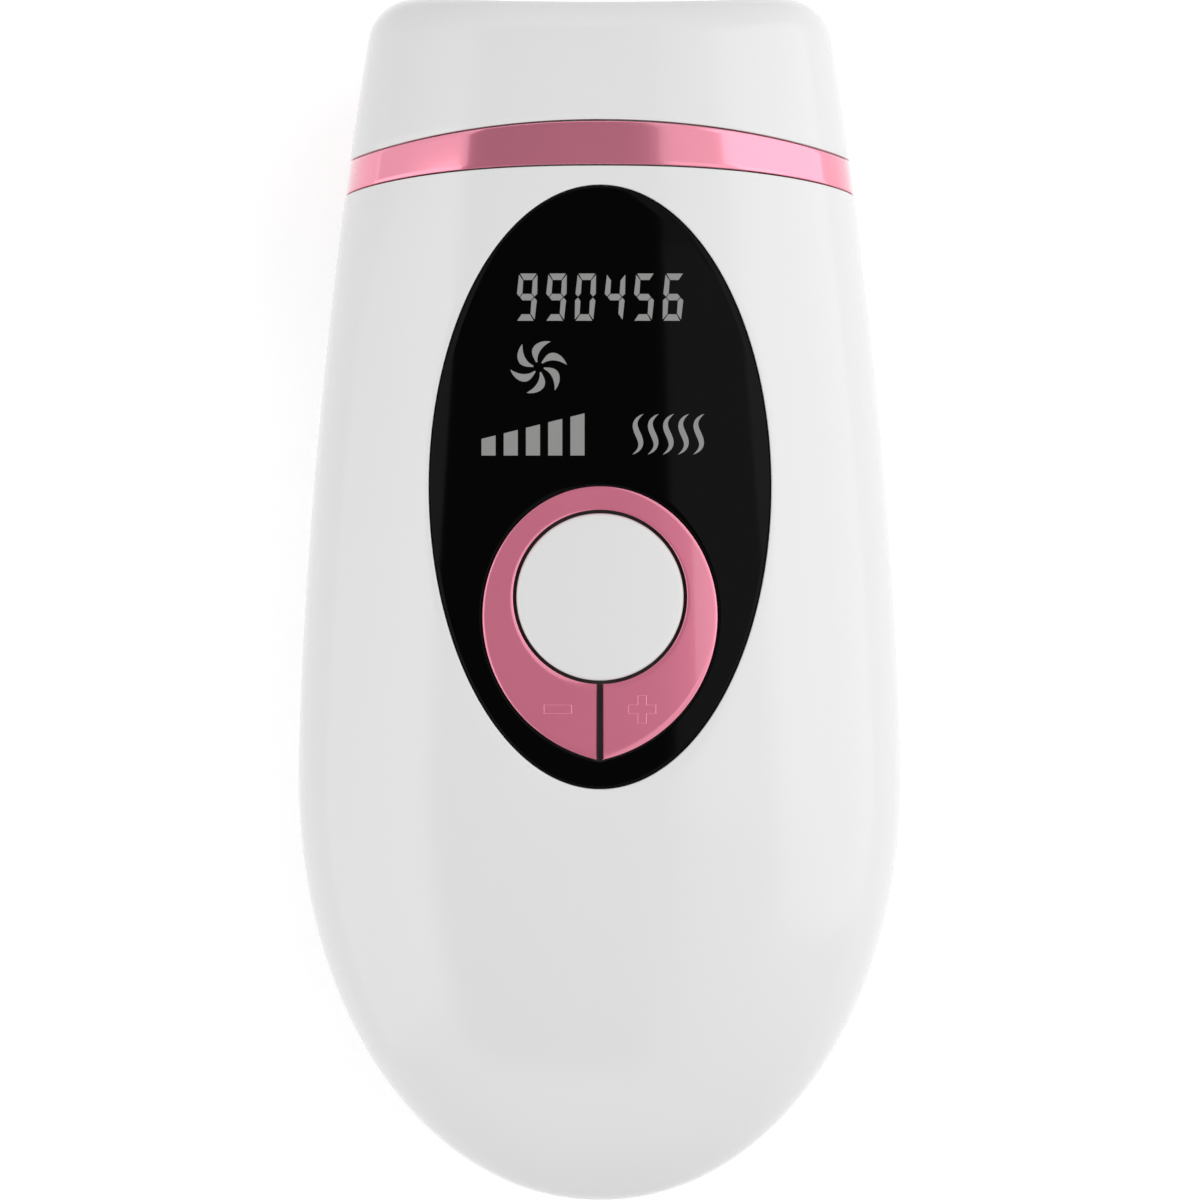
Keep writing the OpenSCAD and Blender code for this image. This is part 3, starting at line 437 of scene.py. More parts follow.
def build_front_shell():
    """White front skin, drawn outwards from the lens's edge; each column runs out on top and back below."""
    lip, lens_gap, inner = 0.25, 0.12, 1.5
    rows, inner_rows = 64, 12
    centre = (0.0, LENS_Y)
    columns = []
    for angle in shell_directions(540, PART_GAP):
        start = lens_edge(angle, lens_gap)
        reach = math.hypot(start[0] - centre[0], start[1] - centre[1])
        way = ((start[0] - centre[0]) / reach, (start[1] - centre[1]) / reach)

        def at(distance, inset=0.0):
            x, y = centre[0] + way[0] * distance, centre[1] + way[1] * distance
            return x, y, front_z(x, y, inset)

        limit = ray_limit(centre, way, 0.0, PART_GAP)
        end = at(limit)
        on_band = end[1] > face_back_edge(abs(end[0]), end[1]) - PART_GAP - 0.02
        # Rows crowd towards the outer edge, and less so towards the band's corners
        power = 3.0
        if on_band:
            share = min(1.0, (half_w(end[1]) - abs(end[0])) / 8)
            power -= 1.3 * share * share * (3 - 2 * share)
        column = []
        x, y, z = at(reach)
        column.append((x, y, front_z(x, y, inner)))
        column.append((x, y, z - lip))
        for k in (1, 2, 3):
            f = k * math.pi / 8
            px, py, pz = at(reach + lip * (1 - math.cos(f)))
            column.append((px, py, pz - lip * (1 - math.sin(f))))
        for k in range(rows + 1):
            g = 1 - (1 - k / rows) ** power
            px, py, pz = at(reach + lip + (limit - reach - lip) * g)
            column.append((px, py, max(pz, PART_Z + SEAM + 0.1)))
        # Small round at the outer edge, then the edge's own face
        ex, ey, ez = column[-1]
        if on_band and ez > PART_Z + 0.6:
            column.append((ex, ey, ez - 0.12))
            column.append((ex, ey, front_z(ex, ey, 1.0)))
        else:
            column.append((ex - way[0] * 0.04, ey - way[1] * 0.04, PART_Z + SEAM + 0.03))
            column.append((ex - way[0] * 0.16, ey - way[1] * 0.16, PART_Z + SEAM))
        inner_limit = min(ray_limit(centre, way, inner, PART_GAP), limit - 0.2)
        for k in range(inner_rows, 0, -1):
            g = 1 - (1 - k / inner_rows) ** 2.0
            px, py, pz = at(reach + (inner_limit - reach) * g, inner)
            column.append((px, py, max(pz, PART_Z + SEAM)))
        columns.append(column)
    rings = [list(ring) for ring in zip(*columns)]
    verts, faces = loft(rings, closed_rows=True)
    make("front_shell_skin", verts, faces, "casing", "white_shell", MATERIALS["white_shell"],
         replaces=["front_shell"], sharp=50)


build_front_shell()


def tube(cx, cy, outer, inner, low, high):
    """Upright tube."""
    walls = ((outer, low), (outer, high), (inner, high), (inner, low))
    rings = [[(cx + x, cy + y, h) for x, y in circle(r, 48)] for r, h in walls]
    return loft(rings, closed_rows=True)


def build_front_bosses():
    """Screw bosses that hang from the display face."""
    boss_r, bore_r = 3.6, 1.6
    solids = []
    for x, y in CASING_SPOTS:
        offsets = (-boss_r, 0, boss_r)
        reach = min(front_z(x + dx, y + dy, 1.0) for dx in offsets for dy in offsets)
        solids.append(tube(x, y, boss_r, bore_r, PART_Z + 0.2, reach))
    make("front_bosses", *joined(solids), "casing", "white_shell", MATERIALS["white_shell"], sharp=35)


build_front_bosses()

# ------------------------------------------------------------------ rear shell


def subtract(obj, cut):
    """Cuts one object out of another for good, and deletes the cutting one."""
    mod = obj.modifiers.new("cut", "BOOLEAN")
    mod.operation = "DIFFERENCE"
    mod.solver = "EXACT"
    mod.object = cut
    bpy.context.view_layer.objects.active = obj
    dg = bpy.context.evaluated_depsgraph_get()
    done = bpy.data.meshes.new_from_object(obj.evaluated_get(dg))
    obj.modifiers.clear()
    old = obj.data
    obj.data = done
    bpy.data.meshes.remove(old)
    bpy.data.objects.remove(cut)


JACK_Z = 15.5
TUNNEL_R = 3.4
WELL_R = 3.1
INTAKE_Y, INTAKE_W, INTAKE_L, INTAKE_PITCH = 15.0, 1.8, 16.0, 3.4
OUTLET_Y, OUTLET_Z, OUTLET_W, OUTLET_L, OUTLET_PITCH = 40.05, 14.5, 1.3, 7.0, 2.6


def build_rear_shell():
    """White rear skin in U-shaped rings from tail to band, with its slots, wells and socket cut out."""
    segs, tail_rows, side_rows = 112, 44, 56
    inner = 1.6
    rings = []
    for i in range(tail_rows + side_rows + 1):
        ring = []
        for inset, order in ((0.0, range(segs + 1)), (inner, range(segs, -1, -1))):
            for j in order:
                a = math.pi + math.pi * j / segs
                if i < tail_rows:
                    f = math.pi / 2 * i / tail_rows
                    y = WIDEST_Y - (TAIL_L - inset) * math.cos(f) ** (2 / N_PLAN)
                else:
                    y = WIDEST_Y + (back_edge(a) - PART_GAP - WIDEST_Y) * (i - tail_rows) / side_rows
                x, y, z = section_point(a, y, inset)
                ring.append((x, y, min(z, PART_Z - SEAM)))
        rings.append(ring)
    verts, faces = loft(rings)
    # Ends at the band and at the tail's tip
    n = len(rings[0])
    last = (len(rings) - 1) * n
    for j in range(segs):
        faces.append((last + j, last + j + 1, last + n - 2 - j, last + n - 1 - j))
        faces.append((j + 1, j, n - 1 - j, n - 2 - j))
    obj = make("rear_shell_skin", verts, faces, None, "white_shell", MATERIALS["white_shell"],
               replaces=["rear_shell"])
    wells = [prism(circle(WELL_R, 48), -1.0, 16.0, lambda u, v, w, p=p: (p[0] + u, p[1] + v, w))
             for p in CASING_SPOTS]
    intake = [prism(stadium(INTAKE_W, INTAKE_L), -1.0, 4.0, lambda u, v, w, x=x: (x + u, INTAKE_Y + v, w))
              for x in [i * INTAKE_PITCH for i in range(-3, 4)]]
    outlets = [prism(stadium(OUTLET_W, OUTLET_L), low, high, lambda u, v, w, y=y: (w, y + u, OUTLET_Z + v))
               for y in [OUTLET_Y + OUTLET_PITCH * i for i in range(5)]
               for low, high in ((-60, -20), (20, 60))]
    socket = [prism(circle(TUNNEL_R, 64), -90.0, -64.0, lambda u, v, w: (u, w, JACK_Z + v))]
    subtract(obj, plain_object("rear_cuts", *joined(wells + intake + outlets + socket), merge=False))
    smooth(obj, 35)
    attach(obj, "casing")


build_rear_shell()


def back_z(x, y):
    """Height of the back's surface at a place."""
    u = min(1.0, abs(x) / half_w(y))
    return max(0.0, PART_Z - back_ht(y) * (1 - u ** N_BACK) ** (1 / N_BACK))


def build_wells():
    """The deep screw wells and the socket's tunnel, which stand inside the rear shell."""
    floor, top = 12.0, 16.0
    outer, bore, screw = WELL_R + 1.1, WELL_R - 0.05, 1.6
    solids = []
    for x, y in CASING_SPOTS:
        def ring(radius, height):
            """Level ring, or one just inside the shell's skin where height is None."""
            points = []
            for u, v in circle(radius, 48):
                px, py = x + u, y + v
                z = min(back_z(px, py) + 0.9, floor - 0.2) if height is None else height
                points.append((px, py, z))
            return points

        rings = [ring(outer, None), ring(outer, top), ring(screw, top)]
        rings += [ring(screw, floor), ring(bore, floor), ring(bore, None)]
        solids.append(loft(rings, closed_rows=True))
    tunnel_outer, tunnel_bore, tunnel_end = TUNNEL_R + 1.2, TUNNEL_R - 0.05, -65.2
    profile = [(tunnel_outer, tunnel_end), (tunnel_outer, -71.6),
               (tunnel_bore, -74.8), (tunnel_bore, tunnel_end)]
    rings = [[(u, y, JACK_Z + v) for u, v in circle(radius, 64)] for radius, y in profile]
    solids.append(loft(rings, closed_rows=True))
    make("shell_wells", *joined(solids), "casing", "white_shell", MATERIALS["white_shell"], sharp=35)


build_wells()

# ------------------------------------------------------------------ head cap and band

SIDE_STEPS = 288
DIRECTIONS = [2 * math.pi * j / SIDE_STEPS for j in range(SIDE_STEPS)]
HEAD_END = HALF_L - RIM_DIP
FACE_T = 2.4
FACE_CORNER = 2.5
WINDOW_Z = PART_Z + 1
WINDOW_W, WINDOW_H = 40.0, 15.0


def window_point(a, grow=0.0):
    """Point on the treatment window's outline, or on one that lies grow outside it."""
    n = 6
    c, s = math.cos(a), math.sin(a)
    r = (abs(c) ** n + abs(s) ** n) ** (-1 / n)
    return (WINDOW_W / 2 + grow) * r * c, WINDOW_Z + (WINDOW_H / 2 + grow) * r * s


def window_ring(angles, grow, y):
    """The window's outline as a ring at one place along the body."""
    points = [window_point(a, grow) for a in angles]
    return [(x, y, z) for x, z in points]


def nose_point(a, f):
    """Point on the cap's rounded end: the sides turn in by the corner radius, the faces by less."""
    u, v = section(a)
    y = HALF_L - CAP_CORNER + CAP_CORNER * math.sin(f)
    y -= RIM_DIP * (1 - u * u) * math.sin(f)
    w = half_w(y) - CAP_CORNER * (1 - math.cos(f))
    h = (back_ht(y) if v < 0 else front_ht(y)) - FACE_CORNER * (1 - math.cos(f))
    return (u * w, y, PART_Z + v * h)


def build_head_cap():
    """White cap: along its outside to the window's mouth, through the mouth and back along its inside."""
    straight = HALF_L - CAP_CORNER
    side_rows, corner_rows, mouth_r = 15, 18, 0.5
    spigot, spigot_wall, cap_wall = 1.6, 3.75, 2.4
    rings = []
    # Edge beside the band, slightly rounded
    for inset, back in ((1.2, 0.0), (0.12, 0.0), (0.035, 0.035), (0.0, 0.12)):
        rings.append([section_point(a, front_edge(a) + PART_GAP + back, inset) for a in DIRECTIONS])
    for i in range(1, side_rows):
        ring = []
        for a in DIRECTIONS:
            y0 = front_edge(a) + PART_GAP + 0.12
            ring.append(section_point(a, y0 + (straight - y0) * i / side_rows, 0.0))
        rings.append(ring)
    for k in range(corner_rows + 1):
        rings.append([nose_point(a, math.pi / 2 * k / corner_rows) for a in DIRECTIONS])
    # End face, sinking gently to the window's rounded mouth
    end = rings[-1]
    mouth_y = HEAD_END - 0.4
    for s in (0.25, 0.5, 0.75, 1.0):
        ring = []
        for j, a in enumerate(DIRECTIONS):
            wx, wz = window_point(a, mouth_r)
            ring.append((end[j][0] + (wx - end[j][0]) * s, end[j][1] + (mouth_y - end[j][1]) * s,
                         end[j][2] + (wz - end[j][2]) * s))
        rings.append(ring)
    for k in (1, 2, 3, 4):
        f = math.pi / 8 * k
        turn_in, turn_back = mouth_r * (1 - math.sin(f)), mouth_r * (1 - math.cos(f))
        rings.append(window_ring(DIRECTIONS, turn_in, mouth_y - turn_back))
    rings.append(window_ring(DIRECTIONS, 0.0, HEAD_END - FACE_T))
    rings.append([section_point(a, HEAD_END - FACE_T, spigot_wall) for a in DIRECTIONS])
    rings.append([section_point(a, back_edge(a) - spigot, spigot_wall) for a in DIRECTIONS])
    rings.append([section_point(a, back_edge(a) - spigot, cap_wall) for a in DIRECTIONS])
    rings.append([section_point(a, front_edge(a) + PART_GAP, cap_wall) for a in DIRECTIONS])
    verts, faces = loft(rings, closed_rows=True)
    make("head_cap_skin", verts, faces, "casing", "white_shell", MATERIALS["white_shell"],
         replaces=["head_cap"], sharp=50)


build_head_cap()


def build_band():
    """Pink band between the shells and the cap, with softened edges."""
    lip, rows = 0.1, 10
    rings = []
    for inset, along in ((WALL - 0.1, 0), (lip, 0), (0.03, 0.03), (0.0, lip)):
        rings.append([section_point(a, back_edge(a) + PART_GAP + along, inset) for a in DIRECTIONS])
    for i in range(1, rows):
        ring = []
        for a in DIRECTIONS:
            y0, y1 = back_edge(a) + PART_GAP + lip, front_edge(a) - PART_GAP - lip
            ring.append(section_point(a, y0 + (y1 - y0) * i / rows, 0.0))
        rings.append(ring)
    for inset, along in ((0.0, lip), (0.03, 0.03), (lip, 0), (WALL - 0.1, 0)):
        rings.append([section_point(a, front_edge(a) - PART_GAP - along, inset) for a in DIRECTIONS])
    verts, faces = loft(rings, closed_rows=True)
    make("trim_band_skin", verts, faces, "casing", "pink_metal", MATERIALS["pink_metal"],
         replaces=["trim_band"], sharp=50)


build_band()

# ------------------------------------------------------------------ display lens

# The ring's outline: half an ellipse above RING_Y, and below it two arcs that meet in a point
RING_Y, RING_TOP, RING_HALF_W, LOBE_R = -2.1, 16.8, 15.2, 19.0
LOBE_X = LOBE_R - RING_HALF_W
HOLE_R = BUTTON_R + 0.45
SLIT_W = 0.78


def ring_reach(angle, grow):
    """Distance from the button's middle to the ring's outline, in a direction."""
    c, s = math.cos(angle), math.sin(angle)
    near, far = 0.0, 40.0
    for _ in range(40):
        mid = (near + far) / 2
        x, y = mid * c, BUTTON_Y + mid * s - RING_Y
        if y >= 0:
            inside = (x / (RING_HALF_W + grow)) ** 2 + (y / (RING_TOP + grow)) ** 2 < 1
        else:
            inside = (abs(x) + LOBE_X) ** 2 + y ** 2 < (LOBE_R + grow) ** 2
        near, far = (mid, far) if inside else (near, mid)
    return near


def lens_reach(angle, grow=0.0):
    """Distance from the button's middle to the lens's edge, in a direction."""
    c, s = math.cos(angle), math.sin(angle)
    a, b = LENS_W / 2 + grow, LENS_L / 2 + grow
    dy = BUTTON_Y - LENS_Y
    qa = (c / a) ** 2 + (s / b) ** 2
    qb = 2 * dy * s / b ** 2
    qc = (dy / b) ** 2 - 1
    return (-qb + math.sqrt(qb * qb - 4 * qa * qc)) / (2 * qa)


def lens_top(x, y):
    """The lens lies a hair below the white surface."""
    return front_z(x, y, 0.05)


def build_lens():
    """Black lens between the ring's opening and its own oval edge, in columns that run outwards."""
    count, rows, edge = 480, 30, 0.3
    columns = []
    for i in range(count):
        angle = 2 * math.pi * (i + 0.5) / count
        c, s = math.cos(angle), math.sin(angle)
        r0, r1 = ring_reach(angle, 0.2), lens_reach(angle)

        def at(r, drop=0.0):
            x, y = r * c, BUTTON_Y + r * s
            return (x, y, lens_top(x, y) - drop)

        column = [(r0 * c, BUTTON_Y + r0 * s, LENS_LOW)]
        column += [at(r0, 0.12), at(r0 + 0.035, 0.035), at(r0 + 0.12, 0.0)]
        for k in range(1, rows):
            column.append(at(r0 + 0.12 + (r1 - edge - r0 - 0.12) * k / rows))
        for k in range(5):
            f = math.pi / 2 * k / 4
            column.append(at(r1 - edge + edge * math.sin(f), edge * (1 - math.cos(f))))
        column.append((r1 * c, BUTTON_Y + r1 * s, LENS_LOW))
        columns.append(column)
    rings = [list(ring) for ring in zip(*columns)]
    verts, faces = loft(rings, closed_rows=True)
    make("lens_skin", verts, faces, "casing", "black_lens", MATERIALS["black_lens"],
         replaces=["display_lens"], sharp=60)


build_lens()

# ------------------------------------------------------------------ figures on the display


def plate(name, outlines):
    """Thin printed shapes that follow the lens; each outline is a closed list of (x, y)."""
    rise, sink = 0.025, 0.03
    solids = []
    for outline in outlines:
        n = len(outline)
        verts = [(x, y, lens_top(x, y) + rise) for x, y in outline]
        verts += [(x, y, lens_top(x, y) - sink) for x, y in outline]
        faces = [tuple(range(n)), tuple(range(2 * n - 1, n - 1, -1))]
        faces += [(i, n + i, n + (i + 1) % n, (i + 1) % n) for i in range(n)]
        solids.append((verts, faces))
    obj = make(name, *joined(solids), None, "milky_plastic", PRINT_GREY)
    bm = bmesh.new()
    bm.from_mesh(obj.data)
    bmesh.ops.triangulate(bm, faces=[f for f in bm.faces if len(f.verts) > 4])
    bm.to_mesh(obj.data)
    bm.free()
    for p in obj.data.polygons:
        p.use_smooth = False
    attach(obj, "casing")


DIGIT_W, DIGIT_H, DIGIT_PITCH = 2.62, 6.1, 3.78
BAR_V, BAR_H, SEG_GAP = 0.70, 0.84, 0.07
SLANT = math.tan(math.radians(3.6))
# The lit bars of each figure, a to f clockwise from the top and g across the middle
LIT = {"0": "abcdef", "4": "bcfg", "5": "acdfg", "6": "acdefg", "9": "abcdfg"}


def segment_outlines():
    """The seven bars of one digit, with mitred ends and hairline gaps."""
    w, h, v, t, g = DIGIT_W, DIGIT_H, BAR_V, BAR_H, SEG_GAP
    m = h / 2
    return {
        "a": [(g + 0.18, h), (w - g - 0.18, h), (w - v - g, h - t), (v + g, h - t)],
        "d": [(g + 0.18, 0), (w - g - 0.18, 0), (w - v - g, t), (v + g, t)],
        "g": [(v / 2 + g, m), (v + g, m + t / 2), (w - v - g, m + t / 2), (w - v / 2 - g, m),
              (w - v - g, m - t / 2), (v + g, m - t / 2)],
        "f": [(0.12, h - 0.16), (0.24, h - 0.3), (v, h - t - g), (v, m + t / 2 + g),
              (v / 2, m + g), (0, m + t / 2)],
        "b": [(w - 0.12, h - 0.16), (w - 0.24, h - 0.3), (w - v, h - t - g), (w - v, m + t / 2 + g),
              (w - v / 2, m + g), (w, m + t / 2)],
        "e": [(0.12, 0.16), (0.24, 0.3), (v, t + g), (v, m - t / 2 - g), (v / 2, m - g), (0, m - t / 2)],
        "c": [(w - 0.12, 0.16), (w - 0.24, 0.3), (w - v, t + g), (w - v, m - t / 2 - g),
              (w - v / 2, m - g), (w, m - t / 2)],
    }


def counter(text, left, base):
    """The row of slanted figures, from the left edge and the base line of the first."""
    outlines = []
    bars = segment_outlines()
    for i, figure in enumerate(text):
        for bar in LIT[figure]:
            outlines.append([(left + i * DIGIT_PITCH + x + (y - DIGIT_H / 2) * SLANT, base + y)
                             for x, y in bars[bar]])
    plate("counter_digits", outlines)


counter("990456", -10.75, 36.05)


def fan_symbol(cx, cy, radius):
    """Six blades that curl back as they run out; hub is the share of the radius where they start."""
    blades, steps, hub = 6, 12, 0.19
    outlines = []
    for i in range(blades):
        turn = math.radians(118 + 360 / blades * i)
        convex, hollow = [], []
        for k in range(steps + 1):
            s = k / steps
            r = radius * (hub + (1 - hub) * math.sin(s * math.pi / 2))
            q = (r / radius - hub) / (1 - hub)
            convex.append((r, -53 * q ** 3.4))
            hollow.append((r * (1 - 0.03 * math.sin(math.pi * s)), -16 - 37 * q ** 1.1))
        points = [(r, turn + math.radians(d)) for r, d in convex + hollow[-2::-1]]
        outlines.append([(cx + r * math.cos(a), cy + r * math.sin(a)) for r, a in points])
    plate("fan_symbol", outlines)


fan_symbol(-7.93, 30.05, 3.66)


def level_bars(left, base, count, width, pitch):
    """Bars under one rising line."""
    first, slope = 2.15, 0.248
    outlines = []
    for i in range(count):
        x0 = left + i * pitch
        top = base + first + slope * (x0 - left)
        outlines.append([(x0, base), (x0 + width, base), (x0 + width, top + slope * width), (x0, top)])
    plate("level_bars", outlines)


level_bars(-15.3, 18.65, 5, 1.82, 2.87)


def heat_symbol(left, middle, count, pitch):
    """Waves along a cubic S-curve, widest in the middle and pointed at both ends."""
    half_h, swing, hook, half_t, steps = 2.615, 1.183, 1.876, 0.36, 20
    outlines = []
    for i in range(count):
        cx = left + i * pitch
        side_a, side_b = [], []
        for k in range(steps + 1):
            q = -1 + 2 * k / steps
            x, y = swing * q - hook * q ** 3, -half_h * q
            dx, dy = swing - 3 * hook * q * q, -half_h
            size = math.hypot(dx, dy)
            half = half_t * (1 - q * q) ** 0.75 + 0.012
            nx, ny = -dy / size, dx / size
            side_a.append((cx + x + nx * half, middle + y + ny * half))
            side_b.append((cx + x - nx * half, middle + y - ny * half))
        outlines.append(side_a + side_b[::-1])
    plate("heat_symbol", outlines)


heat_symbol(4.9, 21.4, 5, 1.96)

# ------------------------------------------------------------------ key ring and button

KEY_UNDER = KEY_TOP - 1.3
STEM_X, STEM_Y, STEM_R = 5.6, -14.0, 1.5
POST_X, POST_Y, POST_R = 9.0, 9.6, 0.9
SIGN_X, SIGN_Y, SIGN_SIZE, SIGN_STROKE = 5.44, -14.1, 3.56, 1.1


def ring_top_z(x, y):
    """The ring is flatter across than the body, and level with the lens in the middle."""
    return 0.45 * lens_top(0, y) + 0.55 * lens_top(x, y) + 0.02


def build_key(side):
    """Half of the ring moulding, from the slit round to the top of the ring."""
    steps, rows, lip = 200, 10, 0.11
    slit = SLIT_W / 2
    # Directions from just beside the slit up to the top of the ring
    start, stop = -math.pi / 2, math.pi / 2
    columns = []
    for i in range(steps + 1):
        t = start + (stop - start) * i / steps
        c, s = math.cos(t), math.sin(t)
        inner_p = (HOLE_R * c, HOLE_R * s)
        outer_r = ring_reach(t, -0.02)
        outer_p = (outer_r * c, outer_r * s)

        def clear(p, extra):
            """Keeps a point beyond the slit's wall."""
            if p[1] < 0 and p[0] < slit + extra:
                return (slit + extra, p[1])
            return p

        column = []

        def put(p, drop, extra):
            """Adds a point below the ring's top by drop, or at its underside where drop is None."""
            x, y = clear(p, extra)
            y += BUTTON_Y
            column.append((side * x, y, KEY_UNDER if drop is None else ring_top_z(x, y) - drop))

        def along(share):
            """Point between the hole's edge and the ring's outline."""
            return (inner_p[0] + (outer_p[0] - inner_p[0]) * share,
                    inner_p[1] + (outer_p[1] - inner_p[1]) * share)

        span = math.hypot(outer_p[0] - inner_p[0], outer_p[1] - inner_p[1])
        put(inner_p, None, 0.0)
        put(inner_p, lip, 0.0)
        put(along(lip * 0.3 / span), lip * 0.3, lip * 0.3)
        put(along(lip / span), 0.0, lip)
        for k in range(1, rows):
            put(along(lip / span + (1 - 2 * lip / span) * k / rows), 0.0, lip)
        put(along(1 - lip / span), 0.0, lip)
        put(along(1 - lip * 0.3 / span), lip * 0.3, lip * 0.3)
        put(outer_p, lip, 0.0)
        put(outer_p, None, 0.0)
        columns.append(column)
    n = len(columns[0])
    verts = [p for c in columns for p in c]
    faces = []
    for i in range(steps):
        for j in range(n):
            k = (j + 1) % n
            faces.append((i * n + j, i * n + k, (i + 1) * n + k, (i + 1) * n + j))
    faces.append(tuple(range(n)))
    faces.append(tuple(range(steps * n + n - 1, steps * n - 1, -1)))
    return verts, faces


def sign_outline(grow, bar_only):
    """Outline of a minus or a plus, grown on all sides."""
    a, w = SIGN_SIZE / 2 + grow, SIGN_STROKE / 2 + grow
    if bar_only:
        return [(-a, -w), (a, -w), (a, w), (-a, w)]
    return [(-w, -a), (w, -a), (w, -w), (a, -w), (a, w), (w, w),
            (w, a), (-w, a), (-w, w), (-a, w), (-a, -w), (-w, -w)]


def emboss(cx, cy, bar_only):
    """Minus or plus sign, standing a hair proud with a bevelled edge."""
    rings = []
    for grow, rise in ((0.05, -0.1), (0.05, -0.01), (-0.03, 0.05)):
        outline = sign_outline(grow, bar_only)
        rings.append([(cx + x, cy + y, ring_top_z(cx + x, cy + y) + rise) for x, y in outline])
    return loft(rings, close_ends=True)


def upright(cx, cy, radius, low, high):
    """Upright round pin."""
    return prism(circle(radius, 32), low, high, lambda u, v, w: (cx + u, cy + v, w))


def key_piece(side, name, bar_only):
    """One arm with its sign, its switch stem and its fixing post."""
    stem = upright(side * STEM_X, STEM_Y, STEM_R, STEM_LOW, KEY_UNDER + 0.2)
    post = upright(side * POST_X, POST_Y, POST_R, POST_LOW, KEY_UNDER + 0.2)
    solids = [build_key(side), emboss(side * SIGN_X, SIGN_Y, bar_only), stem, post]
    return make(name, *joined(solids), None, "pink_metal", MATERIALS["pink_key"], sharp=28)


left_key = key_piece(-1, "minus_arm", True)
right_key = key_piece(1, "plus_arm", False)
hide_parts("minus_key", "key_bridge")
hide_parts("plus_key")
# The arms flex from the top of the ring on the real device; here each arm's placement is only baked into its
# mesh
for key, body in ((left_key, "minus_key"), (right_key, "plus_key")):
    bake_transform(key)


def build_button():
    """Round button: crowned top with a rounded edge, a short skirt, and a stem with the clip's groove."""
    r, top = BUTTON_R, KEY_TOP
    crown, edge = 0.25, 0.45
    stem, groove, skirt = 3.0, 2.6, 1.5
    low = button_low[2]
    profile = [(0, low), (groove, low), (groove, CLIP_TOP), (stem, CLIP_TOP), (stem, top - skirt),
               (r, top - skirt), (r, top - edge)]
    for k in range(1, 9):
        f = math.pi / 2 * k / 8
        profile.append((r - edge + edge * math.cos(f), top - edge + edge * math.sin(f)))
    for k in range(1, 16):
        q = 1 - k / 16
        profile.append(((r - edge) * q, top + crown * (1 - q ** 2.2)))
    profile.append((0, top + crown))
    verts, faces = revolve(profile, 144, 0, BUTTON_Y)
    make("power_button_skin", verts, faces, "power_button", "white_key", MATERIALS["white_key"],
         replaces=["power_button"], sharp=50)


build_button()

# ------------------------------------------------------------------ treatment window's frame


def build_window_frame():
    """Plated frame in the treatment window: a rolled rim that slopes in to the filter glass."""
    n = 240
    turns = [2 * math.pi * j / n for j in range(n)]
    front, back = frame_high[1], frame_low[1]
    gap, edge = 0.25, 0.35
    rings = [window_ring(turns, -gap, back), window_ring(turns, -gap, front - edge)]
    for k in (1, 2, 3, 4):
        f = math.pi / 8 * k
        rings.append(window_ring(turns, -gap - edge * (1 - math.cos(f)), front - edge * (1 - math.sin(f))))
    for grow, y in ((-1.1, front), (-1.35, front - 0.1), (-2.5, back)):
        rings.append(window_ring(turns, grow, y))
    verts, faces = loft(rings, closed_rows=True)
    make("window_frame_skin", verts, faces, "casing", "satin_metal", MATERIALS["satin_metal"],
         replaces=["contact_frame"], sharp=50)


build_window_frame()

# ------------------------------------------------------------------ studio


def emission(name, colour, strength):
    """Even glow, for a card that mustn't be lit."""
    mat = bpy.data.materials.new(name)
    mat.use_nodes = True
    nt = mat.node_tree
    nt.nodes.clear()
    out = nt.nodes.new("ShaderNodeOutputMaterial")
    glow = nt.nodes.new("ShaderNodeEmission")
    glow.inputs["Color"].default_value = (*colour, 1)
    glow.inputs["Strength"].default_value = strength
    nt.links.new(glow.outputs["Emission"], out.inputs["Surface"])
    return mat


def flat_panel(name, left, right, half_y, z, material):
    """Level rectangle of the studio, in metres."""
    corners = [(left, -half_y, z), (right, -half_y, z), (right, half_y, z), (left, half_y, z)]
    mesh = bpy.data.meshes.new(name)
    mesh.from_pydata(corners, [], [tuple(range(len(corners)))])
    obj = bpy.data.objects.new(name, mesh)
    bpy.context.scene.collection.objects.link(obj)
    mesh.materials.append(material)
    return obj


def background_share(nt):
    """1 for rays that show the background: from the camera, in gloss and through glass."""
    path = nt.nodes.new("ShaderNodeLightPath")
    share = path.outputs["Is Camera Ray"]
    for kind in ("Is Glossy Ray", "Is Transmission Ray"):
        either = nt.nodes.new("ShaderNodeMath")
        either.operation = "MAXIMUM"
        nt.links.new(share, either.inputs[0])
        nt.links.new(path.outputs[kind], either.inputs[1])
        share = either.outputs["Value"]
    return share


